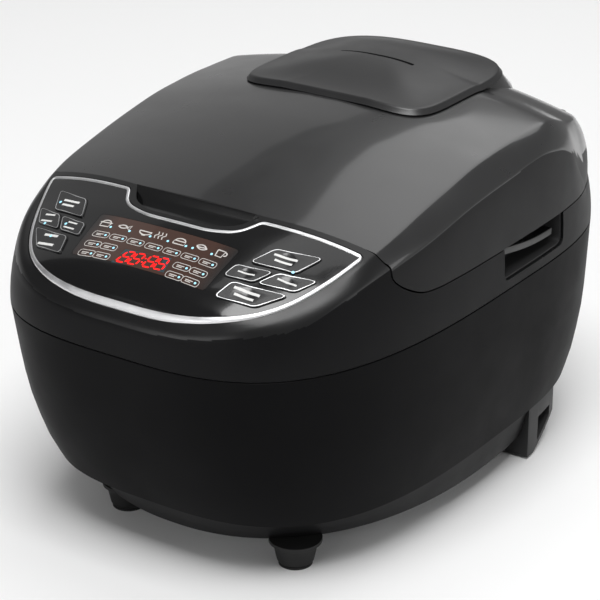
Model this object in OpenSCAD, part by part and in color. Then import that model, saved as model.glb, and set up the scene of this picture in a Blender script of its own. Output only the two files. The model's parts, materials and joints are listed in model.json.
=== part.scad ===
// Countertop electric cooker with a hinged lid, a sloping key panel and a lift-out pot.
// Every shell is drawn about the widest section of the body (y = 0) and then moved back
// by mid_y, which puts the origin under the middle of the whole object.

/* [Body] */
// Width across the side walls
body_w = 280; // [278:0.5:282]
// Length of the body from its widest section to the front
front_len = 229; // [228.5:0.1:229.5]
// Length of the body from its widest section to the back
rear_len = 171; // [170:0.5:172]
// Height of the seam between the lower body and the collar
collar_z = 147.5; // [146.5:0.5:148.5]
// Height of the seam under the lid
lid_z = 175.5; // [175:0.5:176]
// Thickness of the moulded walls
wall = 2.5; // [2.2:0.1:2.8]

/* [Pot] */
// Outer radius of the pot
pot_r = 110; // [107:0.5:111]
// Height of the pot from its floor to its rim
pot_h = 125; // [120:0.5:126]
// Thickness of the pot's wall
pot_wall = 1.6; // [1.2:0.1:2]

/* [Lid] */
// Largest opening angle that the hinge allows
lid_open = 80; // [60:1:80]
// Height of the hinge axis above the rest surface
hinge_z = 190.5; // [190:0.5:191]
// Radius of the hinge knuckles
knuckle_r = 12.5; // [11.5:0.5:12.5]
// Radius of the hinge pin
hinge_pin_r = 3; // [2.5:0.1:3.5]
// Clearance between the lid and the fixed shells
lid_gap = 0.8; // [0.6:0.1:1]

/* [Steam cap] */
// Half width of the cap
cap_w = 69; // [67:0.5:70]
// Half length of the cap
cap_l = 66; // [64:0.5:67]
// Height of the top of the cap
cap_z = 256; // [255:0.5:257]

/* [Keys] */
// Height of a key over the panel
key_lift = 0.8; // [0.5:0.1:1]
// Clearance round a key
key_gap = 0.35; // [0.25:0.05:0.5]

/* [Feet] */
// Distance of the right front foot from the centre line
foot_x = 75; // [72:1:78]
// Distance of the left front foot from the centre line
left_foot_x = 54; // [52:1:78]
// Height of the underside of the base
base_z = 15.5; // [15:0.5:16]

/* [Hidden] */
$fn = 64;

mid_y = 29;
hinge_y = 158;
ring_steps = 56;
shell_black = "#1d1d1e";
gloss_black = "#2b2b2c";
dark_grey = "#333436";
silver = "#c9ccd0";
steel = "#a9acb0";
rubber = "#141414";

// Height, half width, front length, back length and squareness of the walls
WALLS = [
    [15.5, 122.9, 179.5, 150, 2.3], [38.7, 127, 193, 156, 2.7], [39, 129.5, 199, 163, 3.1], [56, 133, 207, 167, 3.2],
    [95, 137.5, 219, 170.5, 3.3], [147.5, 140, 229, 171, 3.3], [147.6, 140, 229, 171, 3.3]
];
// Height of the shoulder edge along the body, from the front to the back
SHOULDER = [
    [-229, 165.2], [-210, 168.7], [-190, 177], [-165, 188.5], [-140, 196.5], [-100, 205], [-50, 214], [0, 218],
    [30, 219.5], [55, 216], [75, 208], [92, 188], [104, 177.5], [171, 176.8]
];
// Height of the crown edge, which bounds the lid's dome and the panel
CROWN = [
    [-223, 172.5], [-210, 177.5], [-190, 184.5], [-165, 195], [-142, 205], [-100, 216], [-60, 224], [-20, 230],
    [20, 232], [55, 232], [90, 222], [120, 215], [148, 208]
];
// Height along the centre line of the lid's dome and of the panel
DOME_LINE = [[-223, 172.5], [-200, 196], [-165, 209], [-143, 217], [-120, 224.5], [-100, 230], [-70, 237],
    [-40, 242], [0, 245.5], [50, 246], [90, 241], [120, 231], [148, 208]];
PANEL_LINE = [[-223, 172.5], [-219, 181], [-211, 190.5], [-195, 198.5], [-180, 204.5], [-166, 210], [-150, 215],
    [-130, 221], [148, 240]];
// Side view of the seam under the lid, from the flat part to the lid's front edge
SEAM = [[-92, 0], [-108, 1.6], [-121, 7], [-130, 13.6], [-138, 23.4], [-142, 29.6], [-144.5, 52.5]];

shoulder_w = 133.6;
shoulder_n = 3.1;
crown_w = 121.5;
crown_front = 223;
crown_back = 148;
deck_z = lid_z - 0.4;
pot_floor_z = 44;
pot_rim_z = pot_floor_z + pot_h;
shield_r = 115.5;
panel_tilt = 22;
cup_y = 56;
cup_r = 24;
notch_w = 45;

// ---------- Curves ----------

function signed_pow(v, e) = sign(v) * pow(abs(v), e);

function squircle(t, a, bf, br, nf, nb) =
    let (n = sin(t) < 0 ? nf : nb)
    [a * signed_pow(cos(t), 2 / n), (sin(t) < 0 ? bf : br) * signed_pow(sin(t), 2 / n)];

function column(table, c) = [for (row = table) [row[0], row[c]]];

function wall_ring(z, inset = 0, steps = ring_steps) = [
    for (i = [0 : steps - 1])
        let (p = squircle(360 * i / steps, lookup(z, column(WALLS, 1)) * body_w / 280 - inset,
            lookup(z, column(WALLS, 2)) * front_len / 229 - inset,
            lookup(z, column(WALLS, 3)) * rear_len / 171 - inset,
            lookup(z, column(WALLS, 4)), lookup(z, column(WALLS, 4))))
        [p[0], p[1], z]
];

// The walls lean inwards above the seam, so the shoulder is narrower where it is higher
function shoulder_point(t, inset) =
    let (z = lookup(squircle(t, shoulder_w, 228.4, 170.5, shoulder_n, shoulder_n)[1], SHOULDER),
        w = shoulder_w + (218 - z) * 0.11 - inset,
        q = squircle(t, w, 228.4 - inset, 170.5 - inset, shoulder_n, shoulder_n))
    [q[0], q[1], z - inset * 0.6];

function crown_plan(t) = squircle(t, crown_w, crown_front, crown_back, 3.65, 4.5);

function crown_half_width(y) =
    let (b = y < 0 ? crown_front : crown_back, n = y < 0 ? 3.65 : 4.5)
    crown_w * pow(max(1e-6, 1 - pow(min(1, abs(y) / b), n)), 1 / n);

// Height of the top surface inside the crown edge: power 2 on the lid, 3 on the panel
function top_z(x, y, line, power) =
    let (mid = lookup(y, line), edge = lookup(y, CROWN))
    mid - (mid - edge) * pow(min(1.2, abs(x) / max(1, crown_half_width(y))), power);

function panel_z(x, y) = top_z(x, y, PANEL_LINE, 3);

// Half way between shoulder and crown the skin bulges, most at the back
function bevel_point(t, inset) =
    let (a = shoulder_point(t, inset), c = crown_plan(t), bulge = sin(t) > 0 ? 1 + 7 * pow(sin(t), 2) : 0.6,
        cz = lookup(c[1], CROWN), shrink = 1 - inset / 130)
    [(a[0] + c[0] * shrink) / 2 + bulge * cos(t) * 0.8, (a[1] + c[1] * shrink) / 2 + bulge * sin(t) * 0.8,
        (a[2] + cz - inset) / 2 + bulge * 0.5];

function crown_ring(s, line, power, inset, steps) = [
    for (i = [0 : steps - 1])
        let (c = crown_plan(360 * i / steps), k = s * (1 - inset / 130), x = c[0] * s, y = c[1] * s)
        [c[0] * k, c[1] * k, top_z(x, y, line, power) - inset]
];

// The whole skin above the collar seam, from the wall up to the centre line
function form_rings(line, power, inset, steps, inner) = concat(
    [wall_ring(collar_z, inset, steps)],
    [[for (i = [0 : steps - 1]) let (w = wall_ring(collar_z, inset, steps)[i], e = shoulder_point(360 * i / steps, inset))
        (w + e) / 2]],
    [[for (i = [0 : steps - 1]) shoulder_point(360 * i / steps, inset)]],
    [[for (i = [0 : steps - 1]) bevel_point(360 * i / steps, inset)]],
    [for (s = inner) crown_ring(s, line, power, inset, steps)]
);

// ---------- Solids ----------

// A closed skin through rings of equal count, listed upwards and anticlockwise from above
module skin(rings, tip = undef) {
    n = len(rings[0]);
    last = len(rings) - 1;
    points = concat([for (r = rings) for (p = r) p], is_undef(tip) ? [] : [tip]);
    sides = [for (k = [0 : last - 1]) for (i = [0 : n - 1])
        let (a = k * n + i, b = k * n + (i + 1) % n) each [[a, a + n, b + n], [a, b + n, b]]];
    bottom = [[for (i = [0 : n - 1]) i]];
    top = is_undef(tip)
        ? [[for (i = [n - 1 : -1 : 0]) last * n + i]]
        : [for (i = [0 : n - 1]) [last * n + (i + 1) % n, last * n + i, len(points) - 1]];
    polyhedron(points = points, faces = concat(sides, bottom, top));
}

// A round bar swept along points; aside is never parallel to the path
module swept_bar(path, r, sides, aside) {
    last = len(path) - 1;
    rings = [for (i = [0 : last])
        let (t = path[min(last, i + 1)] - path[max(0, i - 1)], u = cross(t, aside), un = u / norm(u),
            v = cross(t, un), vn = v / norm(v))
        [for (j = [0 : sides - 1]) path[i] + r * (cos(360 * j / sides) * un + sin(360 * j / sides) * vn)]];
    skin(rings);
}

module at_mid() translate([0, mid_y, 0]) children();

module form(line, power, inset = 0, steps = ring_steps, inner = [1, 0.88, 0.7, 0.45, 0.2]) {
    rings = form_rings(line, power, inset, steps, inner);
    skin(rings, [0, 0, lookup(0, line) - inset]);
}

module dome_form(inset = 0, steps = ring_steps) form(DOME_LINE, 2, inset, steps);

module panel_form(inset = 0, steps = ring_steps)
    form(PANEL_LINE, 3, inset, steps, [1, 0.982, 0.946, 0.875, 0.75, 0.5, 0.25]);

module ring_prism(z, inset, z0, h)
    translate([0, 0, z0])
        linear_extrude(h) polygon([for (p = wall_ring(z, inset)) [p[0], p[1]]]);

// A side view drawn as [y, z], carried across the width
module side_profile(points, w = 320)
    translate([-w / 2, 0, 0])
        rotate([90, 0, 90]) linear_extrude(w) polygon(points);

function shifted_seam(dy, dz) = [for (p = SEAM) [p[0] + dy, lid_z + p[1] + dz]];

// Everything behind and above the seam under the lid
module lid_zone(dy, dz)
    side_profile(concat(shifted_seam(dy, dz), [[-144.5 + dy, 290], [230, 290], [230, lid_z + dz]]));

module hinge_axis() translate([0, hinge_y, hinge_z]) rotate([0, 90, 0]) children();

module knuckle(x0, x1) hinge_axis() translate([0, 0, x0]) cylinder(r = knuckle_r, h = x1 - x0);

// A rigid frame that stands on the panel at x, y with its Z along the panel's normal
module on_panel(x, y) {
    dx = (panel_z(x + 1, y) - panel_z(x - 1, y)) / 2;
    dy = (panel_z(x, y + 1) - panel_z(x, y - 1)) / 2;
    n = [-dx, -dy, 1] / norm([-dx, -dy, 1]);
    u = [1, 0, dx] / norm([1, 0, dx]);
    v = cross(n, u);
    z = panel_z(x, y);
    multmatrix([[u[0], v[0], n[0], x], [u[1], v[1], n[1], y], [u[2], v[2], n[2], z], [0, 0, 0, 1]]) children();
}

// ---------- Key layout: four corners each, mirrored for the left side ----------

KEY_A = [[95.5, -155.5], [68.5, -163.5], [62, -178.5], [89, -172]];
KEY_B = [[76.5, -177], [54.5, -182.5], [53, -192.5], [71, -188.5]];
KEY_C = [[100.5, -168], [79, -176], [73.5, -188], [94.5, -181]];
KEY_D = [[91, -184], [59, -193.5], [57, -206.5], [80.5, -200]];
KEY_SLOTS = [KEY_A, KEY_B, KEY_C, KEY_D];

function centre_of(pts) = [for (i = [0, 1]) (pts[0][i] + pts[1][i] + pts[2][i] + pts[3][i]) / 4];

module key_frame(pts, side) {
    c = centre_of(pts);
    on_panel(side * c[0], c[1]) children();
}

// Outline of a key in its own frame, grown by d
module key_outline(pts, side, d) {
    c = centre_of(pts);
    corners = [for (p = pts) [side * (p[0] - c[0]) * 1.02, (p[1] - c[1]) / cos(panel_tilt)]];
    offset(r = 2.2 + d, $fn = 24) offset(delta = -2.2) polygon(corners);
}

module key(pts, side) at_mid() key_frame(pts, side) {
    translate([0, 0, -2.4]) linear_extrude(2.4 + key_lift) key_outline(pts, side, 0);
    translate([0, 0, -5.2]) cylinder(r = 2, h = 3);
}

module key_wells(depth) {
    for (side = [-1, 1]) for (pts = KEY_SLOTS)
        key_frame(pts, side) translate([0, 0, -depth]) linear_extrude(depth + 8) key_outline(pts, side, key_gap);
}

// Plan of the notch that holds the release button, up to the line y = back
module notch_plan(d, back) polygon([[-notch_w - d, back], [8 - notch_w - d, -157.5 - d], [-24, -162.5 - d],
    [24, -162.5 - d], [notch_w - 8 + d, -157.5 - d], [notch_w + d, back]]);

// Outline of the glossy panel inside its trim, drawn in plan
module panel_plan(d) {
    pts = [for (i = [0 : 35]) let (c = crown_plan(180 + 180 * i / 35)) [c[0] * (1 - d / 112), c[1] * (1 - d / 215)]];
    difference() {
        intersection() {
            polygon(concat(pts, [[crown_w - d, -100], [-crown_w + d, -100]]));
            translate([-150, -240]) square([300, 240 - 144.5 - d]);
        }
        notch_plan(d, -140);
    }
}

module display_plan(d) offset(delta = d) polygon([[-50.5, -173], [50.5, -173], [48.5, -205], [-48.5, -205]]);

// ---------- Base ----------

module lower_body() color(shell_black) at_mid() difference() {
    skin([for (z = [39, 56, 95, collar_z]) wall_ring(z)]);
    skin([for (z = [38.9, 56, 95, collar_z + 0.1]) wall_ring(z, wall)]);
    translate([-15, 130, 57]) cube([30, 50, 22]);
}

module upper_collar() color(shell_black) difference() {
    at_mid() union() {
        difference() {
            panel_form();
            lid_zone(-lid_gap * 0.75, -lid_gap / 2);
            intersection() {
                panel_form(wall, 40);
                side_profile(concat([[230, 140], [230, deck_z - 3], [-95, deck_z - 3]],
                    shifted_seam(-3, -3.4), [[-147.5, 290], [-260, 290], [-260, 140]]));
            }
            // Bore for the pot and the ledge that carries its rim
            translate([0, 0, 150]) cylinder(r = pot_r + 2.5, h = 40);
            translate([0, 0, pot_rim_z - 1]) cylinder(r = pot_r + 8.4, h = 40);
            // Openings of the panel, the button and the striker
            translate([0, 0, 172]) linear_extrude(60) panel_plan(5);
            translate([0, 0, 193]) linear_extrude(60) notch_plan(0, -146);
            translate([-10, -143, 170]) cube([20, 19, 33]);
            grip_space();
            deck_screw_holes();
        }
        // Ring under the pot's ledge
        difference() {
            translate([0, 0, pot_rim_z - 5]) cylinder(r = pot_r + 12, h = deck_z - pot_rim_z + 5 - 1);
            translate([0, 0, pot_rim_z - 6]) cylinder(r = pot_r + 2.5, h = 40);
            translate([0, 0, pot_rim_z - 1]) cylinder(r = pot_r + 8.4, h = 40);
            grip_space();
        }
        // Knuckles of the hinge on their stems
        for (side = [-1, 1]) difference() {
            union() {
                knuckle(side > 0 ? 46 : -80, side > 0 ? 80 : -46);
                translate([side * 63 - 17, 149, deck_z - 0.5]) cube([34, 15, 12]);
            }
            hinge_axis() cylinder(r = hinge_pin_r + 0.02, h = 200, center = true);
        }
    }
}

module base_skirt() color(dark_grey) at_mid() difference() {
    skin([wall_ring(base_z), wall_ring(38.7)]);
    skin([wall_ring(base_z + 2.4, wall + 0.4), wall_ring(38.8, wall)]);
    ring_prism(base_z, 16, base_z - 1, 5);
    base_screw_holes();
}

// Plate with air slots and the seat of the sensor's spring
module bottom_plate() color(steel) at_mid() difference() {
    union() {
        ring_prism(base_z, 4.5, base_z + 2.4, 1.2);
        translate([0, 0, base_z + 3]) cylinder(r = 10.5, h = 2.3);
    }
    for (x = [-60 : 15 : 60]) for (y = [-80, 30])
        translate([x - 2, y, base_z]) cube([4, 40, 6]);
    base_screw_holes();
}

BASE_SCREWS = [[-104, 0], [104, 0], [-52, 125], [52, 125], [-35, -165], [35, -165]];

module base_screw_holes()
    for (p = BASE_SCREWS) translate([p[0], p[1], 0]) cylinder(r = 1.55, h = 40);

module base_screws() color(steel) at_mid() for (p = BASE_SCREWS) translate([p[0], p[1], 0]) {
    translate([0, 0, base_z - 2]) cylinder(r = 3.2, h = 2);
    translate([0, 0, base_z - 1]) cylinder(r = 1.5, h = 8);
}

module front_foot(x) color(rubber) at_mid() translate([x, -153, 1.6])
    cylinder(r1 = 11.5, r2 = 14.5, h = base_z - 1.6);

// Foot block with a window, flush with the wall above, cut to the flank of the base and rising to the rear
module rear_foot(side) color(dark_grey) at_mid() difference() {
    intersection() {
        translate([side > 0 ? 88 : -130, 43, 1.6]) cube([42, 44, 37]);
        ring_prism(39, 2.5, 0, 60);
    }
    skin([wall_ring(base_z), wall_ring(38.8)]);
    side_profile([[53, 1.6], [53, 0], [90, 0], [90, 19]]);
    side_profile([[58, 8], [79, 18], [79, 25], [58, 25]]);
}

module foot_pads() color(rubber) at_mid() {
    for (side = [-1, 1]) {
        translate([side > 0 ? foot_x : -left_foot_x, -153, 0]) cylinder(r = 10.5, h = 1.6);
        translate([side * 104, 48, 0]) cylinder(r = 4.5, h = 1.6);
    }
}

// Space that the collar leaves on each side for a finger tray
module grip_space() for (side = [-1, 1]) translate([side > 0 ? 119.2 : -150, -22, 154]) cube([30.8, 77, 40]);

// Finger tray with a curved lip across its mouth
module grip(side) color(dark_grey) at_mid() mirror([side > 0 ? 0 : 1, 0, 0]) difference() {
    translate([119.4, -21.5, 154.4]) cube([17.6, 76, 20.4]);
    translate([121.4, -19.5, 156.4]) cube([40, 72, 9.6]);
    translate([121.4, -19.5, 160]) cube([8.1, 72, 30]);
    translate([131.5, -19.5, 160]) cube([16.5, 72, 30]);
    translate([120, 16.5, 193.5]) rotate([0, 90, 0]) cylinder(r = 24, h = 20);
}

// ---------- Panel ----------

module panel_slice(low, high, steps = 40) intersection() {
    difference() {
        translate([0, 0, high]) panel_form(0, steps);
        translate([0, 0, low]) panel_form(0, steps);
    }
    children();
}

module panel_fascia() color(gloss_black) at_mid() difference() {
    panel_slice(-2.4, 0) translate([0, 0, 150]) linear_extrude(80) panel_plan(5.3);
    key_wells(12);
    translate([0, 0, 150]) linear_extrude(80) display_plan(0.2);
}

module panel_trim() color(silver) at_mid() panel_slice(0, 0.5, ring_steps)
    translate([0, 0, 150]) linear_extrude(80) difference() {
        panel_plan(3);
        panel_plan(5.3);
    }

module display_window() color("#3a2b26") at_mid() panel_slice(-1.6, 0)
    translate([0, 0, 150]) linear_extrude(80) display_plan(0);

module board_frame() at_mid() translate([0, -185, 184]) rotate([panel_tilt, 0, 0]) children();

module display_module() color("#20282c") board_frame() translate([-24, -17, -1.4]) cube([48, 17, 11.5]);

module control_board() color("#24573a") board_frame() difference() {
    translate([0, 0, -3]) linear_extrude(1.6) polygon([[-64, -18], [64, -18], [84, 14], [-84, 14]]);
    for (side = [-1, 1]) translate([side * 60, -8, -4]) cylinder(r = 1.6, h = 4);
}

// One tact switch under the stem of each key
module key_switches() color("#2a2a2a") at_mid() for (side = [-1, 1]) for (pts = KEY_SLOTS)
    key_frame(pts, side) translate([0, 0, -10.5]) cylinder(r = 3, h = 4.5);

// ---------- Release button and latch ----------

module release_button() color(gloss_black) at_mid() union() {
    intersection() {
        side_profile([[-161.8, 206], [-161.8, 210.6], [-156, 211.4], [-150.5, 213.8], [-146.7, 218.2],
            [-146.7, 206]]);
        translate([0, 0, 200]) linear_extrude(40) notch_plan(-0.7, -146.7);
    }
    translate([-8, -161, 198]) cube([16, 8, 9]);
}

function coil(r, pitch, turns, steps) = [for (i = [0 : turns * steps])
    [r * cos(360 * i / steps), r * sin(360 * i / steps), pitch * i / steps]];

module button_spring() color(steel) at_mid() translate([0, -157.6, 184.5])
    swept_bar(coil(3, 2.4, 5, 10), 0.4, 5, [0, 0, 1]);

module latch_hook() color(steel) at_mid() difference() {
    union() {
        side_profile([[-152.5, 181], [-145, 181], [-138, 184], [-136.5, 190], [-141, 190], [-146, 188.5],
            [-152.5, 188.5]], 12);
        translate([-6, -149, 184.5]) rotate([0, 90, 0]) cylinder(r = 4.2, h = 12);
    }
    translate([-10, -149, 184.5]) rotate([0, 90, 0]) cylinder(r = 1.55, h = 20);
}

// Plate with two ears for the hook's pin and a seat for the button's spring
module latch_bracket() color(steel) at_mid() difference() {
    union() {
        translate([-12, -163, 176.4]) cube([24, 22, 2]);
        translate([0, -157.6, 178]) cylinder(r = 3.7, h = 6);
        for (x = [-9.4, 7.4]) translate([x, -153, 178]) cube([2, 8, 10]);
    }
    translate([-20, -149, 184.5]) rotate([0, 90, 0]) cylinder(r = 1.52, h = 40);
}

module latch_pin() color(steel) at_mid() translate([-12, -149, 184.5]) rotate([0, 90, 0]) cylinder(r = 1.5, h = 24);

// ---------- Heating ----------

module heat_shield() color(steel) at_mid() rotate_extrude() difference() {
    polygon([[17, 26], [shield_r + 1, 26], [shield_r + 1, pot_rim_z - 5.2], [shield_r, pot_rim_z - 5.2],
        [shield_r, 27], [17, 27]]);
}

module heater_plate() color("#8e9094") at_mid() rotate_extrude()
    polygon([[17, 33], [88, 33], [90, 36], [90, 40], [86, 43.7], [17, 43.7]]);

module heater_legs() color(steel) at_mid() for (a = [30, 150, 270])
    rotate([0, 0, a]) translate([70, 0, 27]) cylinder(r = 4, h = 6);

module temp_sensor() color("#b9bcc0") at_mid() rotate_extrude()
    polygon([[0, 37], [12, 37], [12, 41], [13.5, 41], [13.5, 43.2], [12.5, 43.6], [0, 43.6]]);

module sensor_spring() color(steel) at_mid() translate([0, 0, 21.4])
    swept_bar(coil(8, 2.9, 5, 12), 0.5, 5, [0, 0, 1]);

module thermal_fuse() color("#d8d2c0") at_mid() translate([40, -8, 27.2]) cube([22, 8, 5]);

module inner_pot() color("#8b8f94") at_mid() rotate_extrude() polygon([
    [0, pot_floor_z], [pot_r - 16, pot_floor_z], [pot_r - 6, pot_floor_z + 3], [pot_r - 1.5, pot_floor_z + 10],
    [pot_r, pot_floor_z + 20], [pot_r, pot_rim_z - 0.8], [pot_r + 8, pot_rim_z - 0.8], [pot_r + 8, pot_rim_z + 0.8],
    [pot_r - pot_wall, pot_rim_z + 0.8], [pot_r - pot_wall, pot_floor_z + 20], [pot_r - 3, pot_floor_z + 11],
    [pot_r - 7, pot_floor_z + 5], [pot_r - 16, pot_floor_z + 2.2], [0, pot_floor_z + 2.2]]);

module power_board() color("#2c6b45") at_mid() {
    translate([-55, -150, 50]) cube([110, 1.6, 70]);
    translate([-45, -165, 60]) cube([34, 15, 28]);
    translate([6, -168, 58]) cube([20, 18, 16]);
    translate([40, -150, 64]) rotate([90, 0, 0]) cylinder(r = 6, h = 16);
}

HARNESS = [[-48, -147, 47], [-62, -138, 34], [-84, -118, 23.4], [-104, -62, 23.4], [-112, 0, 23.4],
    [-98, 70, 23.4], [-60, 116, 26], [-24, 134, 40], [-8, 141, 62]];

module wire_harness() color("#7a1f1f") at_mid() swept_bar(HARNESS, 2.4, 8, [0.3, 0.2, 1]);

module inlet_socket() color(rubber) at_mid() difference() {
    translate([-14.6, 143, 57.4]) cube([29.2, 20.5, 21.2]);
    translate([-12.3, 146, 59.7]) cube([24.6, 30, 16.6]);
    for (p = [[-7, 66], [7, 66], [0, 70]]) translate([p[0] - 1, 140, p[1] - 2]) cube([2, 20, 4]);
}

module inlet_pins() color(steel) at_mid() for (p = [[-7, 66], [7, 66], [0, 70]])
    translate([p[0] - 1, 141, p[1] - 2]) cube([2, 20, 4]);

// ---------- Hinge ----------

module hinge_pin() color(steel) at_mid() hinge_axis() cylinder(r = hinge_pin_r, h = 160, center = true);

module hinge_spring() color(steel) at_mid() hinge_axis() translate([0, 0, -15])
    swept_bar(coil(5.5, 2.5, 12, 10), 0.8, 5, [0, 0, 1]);

DECK_SCREWS = [[-118, -70], [118, -70], [-112, 100], [112, 100]];

module deck_screw_holes()
    for (p = DECK_SCREWS) translate([p[0], p[1], 140]) {
        cylinder(r = 1.55, h = 40);
        translate([0, 0, deck_z - 140 - 1.6]) cylinder(r = 3.4, h = 20);
    }

module deck_screws() color(steel) at_mid() for (p = DECK_SCREWS) translate([p[0], p[1], deck_z - 1.6]) {
    cylinder(r = 3.2, h = 1.4);
    translate([0, 0, -10]) cylinder(r = 1.5, h = 10.5);
}

// ---------- Lid ----------

// What the fixed half of the hinge needs clear as the lid swings
module hinge_clearance() translate([-82, 0, 0]) {
    translate([0, hinge_y, hinge_z]) rotate([0, 90, 0]) cylinder(r = knuckle_r + 1.5, h = 164);
    translate([0, hinge_y - knuckle_r - 1.5, 160]) cube([164, 60, hinge_z - 160]);
    translate([0, hinge_y + 4, hinge_z]) cube([164, 60, 60]);
}

// Raised seat of the steam cap, sloping down to the hinge
module cap_seat(inset) {
    low = [for (i = [0 : 39]) let (p = squircle(9 * i, 76 - inset, 66 - inset, 94 - inset, 4, 3.4)) [p[0], cup_y + p[1], 196]];
    high = [for (i = [0 : 39]) let (p = squircle(9 * i, 62 - inset, 60 - inset, 60 - inset, 4, 4))
        [p[0], cup_y + p[1], 244.2 - inset]];
    skin([low, high]);
}

module lid_shell() color(gloss_black) at_mid() difference() {
    union() {
        difference() {
            intersection() {
                union() {
                    dome_form();
                    cap_seat(0);
                }
                lid_zone(0, lid_gap / 2);
            }
            hinge_clearance();
            intersection() {
                union() {
                    dome_form(wall, 40);
                    cap_seat(wall);
                }
                side_profile(concat(shifted_seam(2.6, -6), [[-141.9, 241.8], [hinge_y - knuckle_r - 4, 241.8],
                    [hinge_y - knuckle_r - 4, lid_z - 6]]));
            }
        }
        // Two arms reach back to the pin
        for (side = [-1, 1]) {
            knuckle(side > 0 ? 24 : -44, side > 0 ? 44 : -24);
            translate([side * 34 - 10, hinge_y - 22, hinge_z - 4]) cube([20, 20, 14]);
        }
    }
    hinge_axis() cylinder(r = hinge_pin_r + 0.06, h = 200, center = true);
    translate([0, cup_y, 180]) cylinder(r = cup_r + 5.2, h = 90);
    // Bed under the steam cap
    translate([0, 0, 244.3]) linear_extrude(20)
        polygon([for (i = [0 : 47]) [0, cup_y] + squircle(7.5 * i, cap_w, cap_l, cap_l, 4.4, 3.2)]);
}

// Flat floor of the lid and the ramp that follows the seam up to the lid's front
module lid_liner() color(dark_grey) at_mid() difference() {
    union() {
        intersection() {
            ring_prism(lid_z, wall + 4.2, lid_z + 0.7, 2);
            translate([-150, -93, 170]) cube([300, 93 + hinge_y - knuckle_r - 7, 20]);
        }
        intersection() {
            translate([0, 0, 160]) linear_extrude(80)
                polygon([for (i = [0 : 55]) crown_plan(360 * i / 56) * 0.94]);
            side_profile([[-94, lid_z + 0.7], [-107, 178.2], [-119.5, 183.6], [-128, 190], [-135.5, 199.6],
                [-133, 201], [-126, 192.4], [-118.5, 186], [-106.5, 180.4], [-94, lid_z + 2.7], [-80, lid_z + 2.7],
                [-80, lid_z + 0.7]]);
        }
        for (p = LID_SCREWS) translate([p[0], p[1], lid_z + 2]) cylinder(r = 4, h = 12);
    }
    translate([0, cup_y, 170]) cylinder(r = 9.5, h = 40);
    translate([0, 0, 170]) cylinder(r = 6.2, h = 40);
    translate([-8, -133, 170]) cube([16, 8, 40]);
    for (p = LID_SCREWS) translate([p[0], p[1], 170]) {
        cylinder(r = 1.55, h = 40);
        cylinder(r = 3.4, h = 7.6);
    }
}

LID_SCREWS = [[-96, -60], [96, -60], [-90, 80], [90, 80]];

module lid_screws() color(steel) at_mid() for (p = LID_SCREWS) translate([p[0], p[1], 176.4]) {
    cylinder(r = 3.2, h = 1.2);
    translate([0, 0, 1]) cylinder(r = 1.5, h = 11);
}

module lid_plate() color("#b4b7bb") at_mid() difference() {
    translate([0, 0, 172.6]) cylinder(r = 106.5, h = 1);
    translate([0, cup_y, 170]) cylinder(r = 6, h = 10);
    translate([0, 0, 170]) cylinder(r = 4.2, h = 10);
}

module lid_gasket() color("#c9c9c4") at_mid() rotate_extrude() polygon([[101, 173.8], [106.8, 173.8], [106.8, 172.4],
    [108, 170.4], [114, 170.4], [115.5, 172], [112, 175.6], [101, 175.6]]);

// Rubber button that holds the plate to the liner
module lid_plate_grommet() color(rubber) at_mid() rotate_extrude()
    polygon([[0, 170.4], [8, 170.4], [8, 172.5], [4.1, 172.5], [4.1, 173.7], [8, 173.7], [8, 176], [6.1, 176],
        [6.1, 178.4], [8, 178.4], [6, 181], [0, 181]]);

module lid_striker() color(steel) at_mid() difference() {
    translate([-7, -131.5, 183.5]) cube([14, 3, 22]);
    translate([-4.5, -135, 186.5]) cube([9, 10, 7]);
}

module steam_cup() color(dark_grey) at_mid() translate([0, cup_y, 0]) rotate_extrude()
    polygon([[5, 214], [cup_r + 4.8, 214], [cup_r + 4.8, 244], [cup_r + 1, 244], [cup_r + 1, 216.5], [5, 216.5]]);

module steam_tube() color("#d6d6d0") at_mid() translate([0, cup_y, 0]) rotate_extrude()
    polygon([[5.2, 174], [11, 174], [11, 175.8], [9.2, 175.8], [9.2, 179], [7.5, 182], [7.5, 213.8], [5.2, 213.8]]);

// ---------- Steam cap ----------

function cap_ring(s, drop, lift) = [for (i = [0 : 47]) let (p = squircle(7.5 * i, cap_w * s, cap_l * s, cap_l * s, 4.4, 3.2))
    [p[0], cup_y + p[1], drop ? lift : cap_z - (cap_z - 248) * pow(s, 2.2) + lift]];

module cap_cover() color(shell_black) at_mid() difference() {
    skin([cap_ring(0.985, true, 244.6), cap_ring(1, false, -1.2), cap_ring(0.985, false, 0), cap_ring(0.8, false, 0),
        cap_ring(0.55, false, 0), cap_ring(0.28, false, 0)], [0, cup_y, cap_z]);
    translate([-28, 48, 240]) cube([56, 3, 30]);
    for (side = [-1, 1]) translate([side * 28, 49.5, 240]) cylinder(r = 1.5, h = 30);
}

module cap_cup() color(dark_grey) at_mid() translate([0, cup_y, 0]) rotate_extrude()
    polygon([[4, 224], [cup_r, 224], [cup_r, 244.5], [cup_r - 1.6, 244.5], [cup_r - 1.6, 225.6], [4, 225.6]]);

// ---------- Assembly ----------

lower_body();
upper_collar();
base_skirt();
bottom_plate();
front_foot(-left_foot_x);  // front_foot_left
front_foot(foot_x);  // front_foot_right
rear_foot(-1);  // rear_foot_left
rear_foot(1);  // rear_foot_right
foot_pads();
base_screws();
grip(-1);  // grip_left
grip(1);  // grip_right
panel_fascia();
panel_trim();
display_window();
display_module();
control_board();
color(gloss_black) key(KEY_A, -1);  // key_cancel
color(gloss_black) key(KEY_C, -1);  // key_time
color(gloss_black) key(KEY_B, -1);  // key_delay
color(gloss_black) key(KEY_D, -1);  // key_temperature
color(gloss_black) key(KEY_A, 1);  // key_start
color(gloss_black) key(KEY_B, 1);  // key_hours
color(gloss_black) key(KEY_C, 1);  // key_minutes
color(gloss_black) key(KEY_D, 1);  // key_menu
key_switches();
release_button();
button_spring();
latch_hook();
latch_bracket();
latch_pin();
heat_shield();
heater_plate();
heater_legs();
temp_sensor();
sensor_spring();
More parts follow.
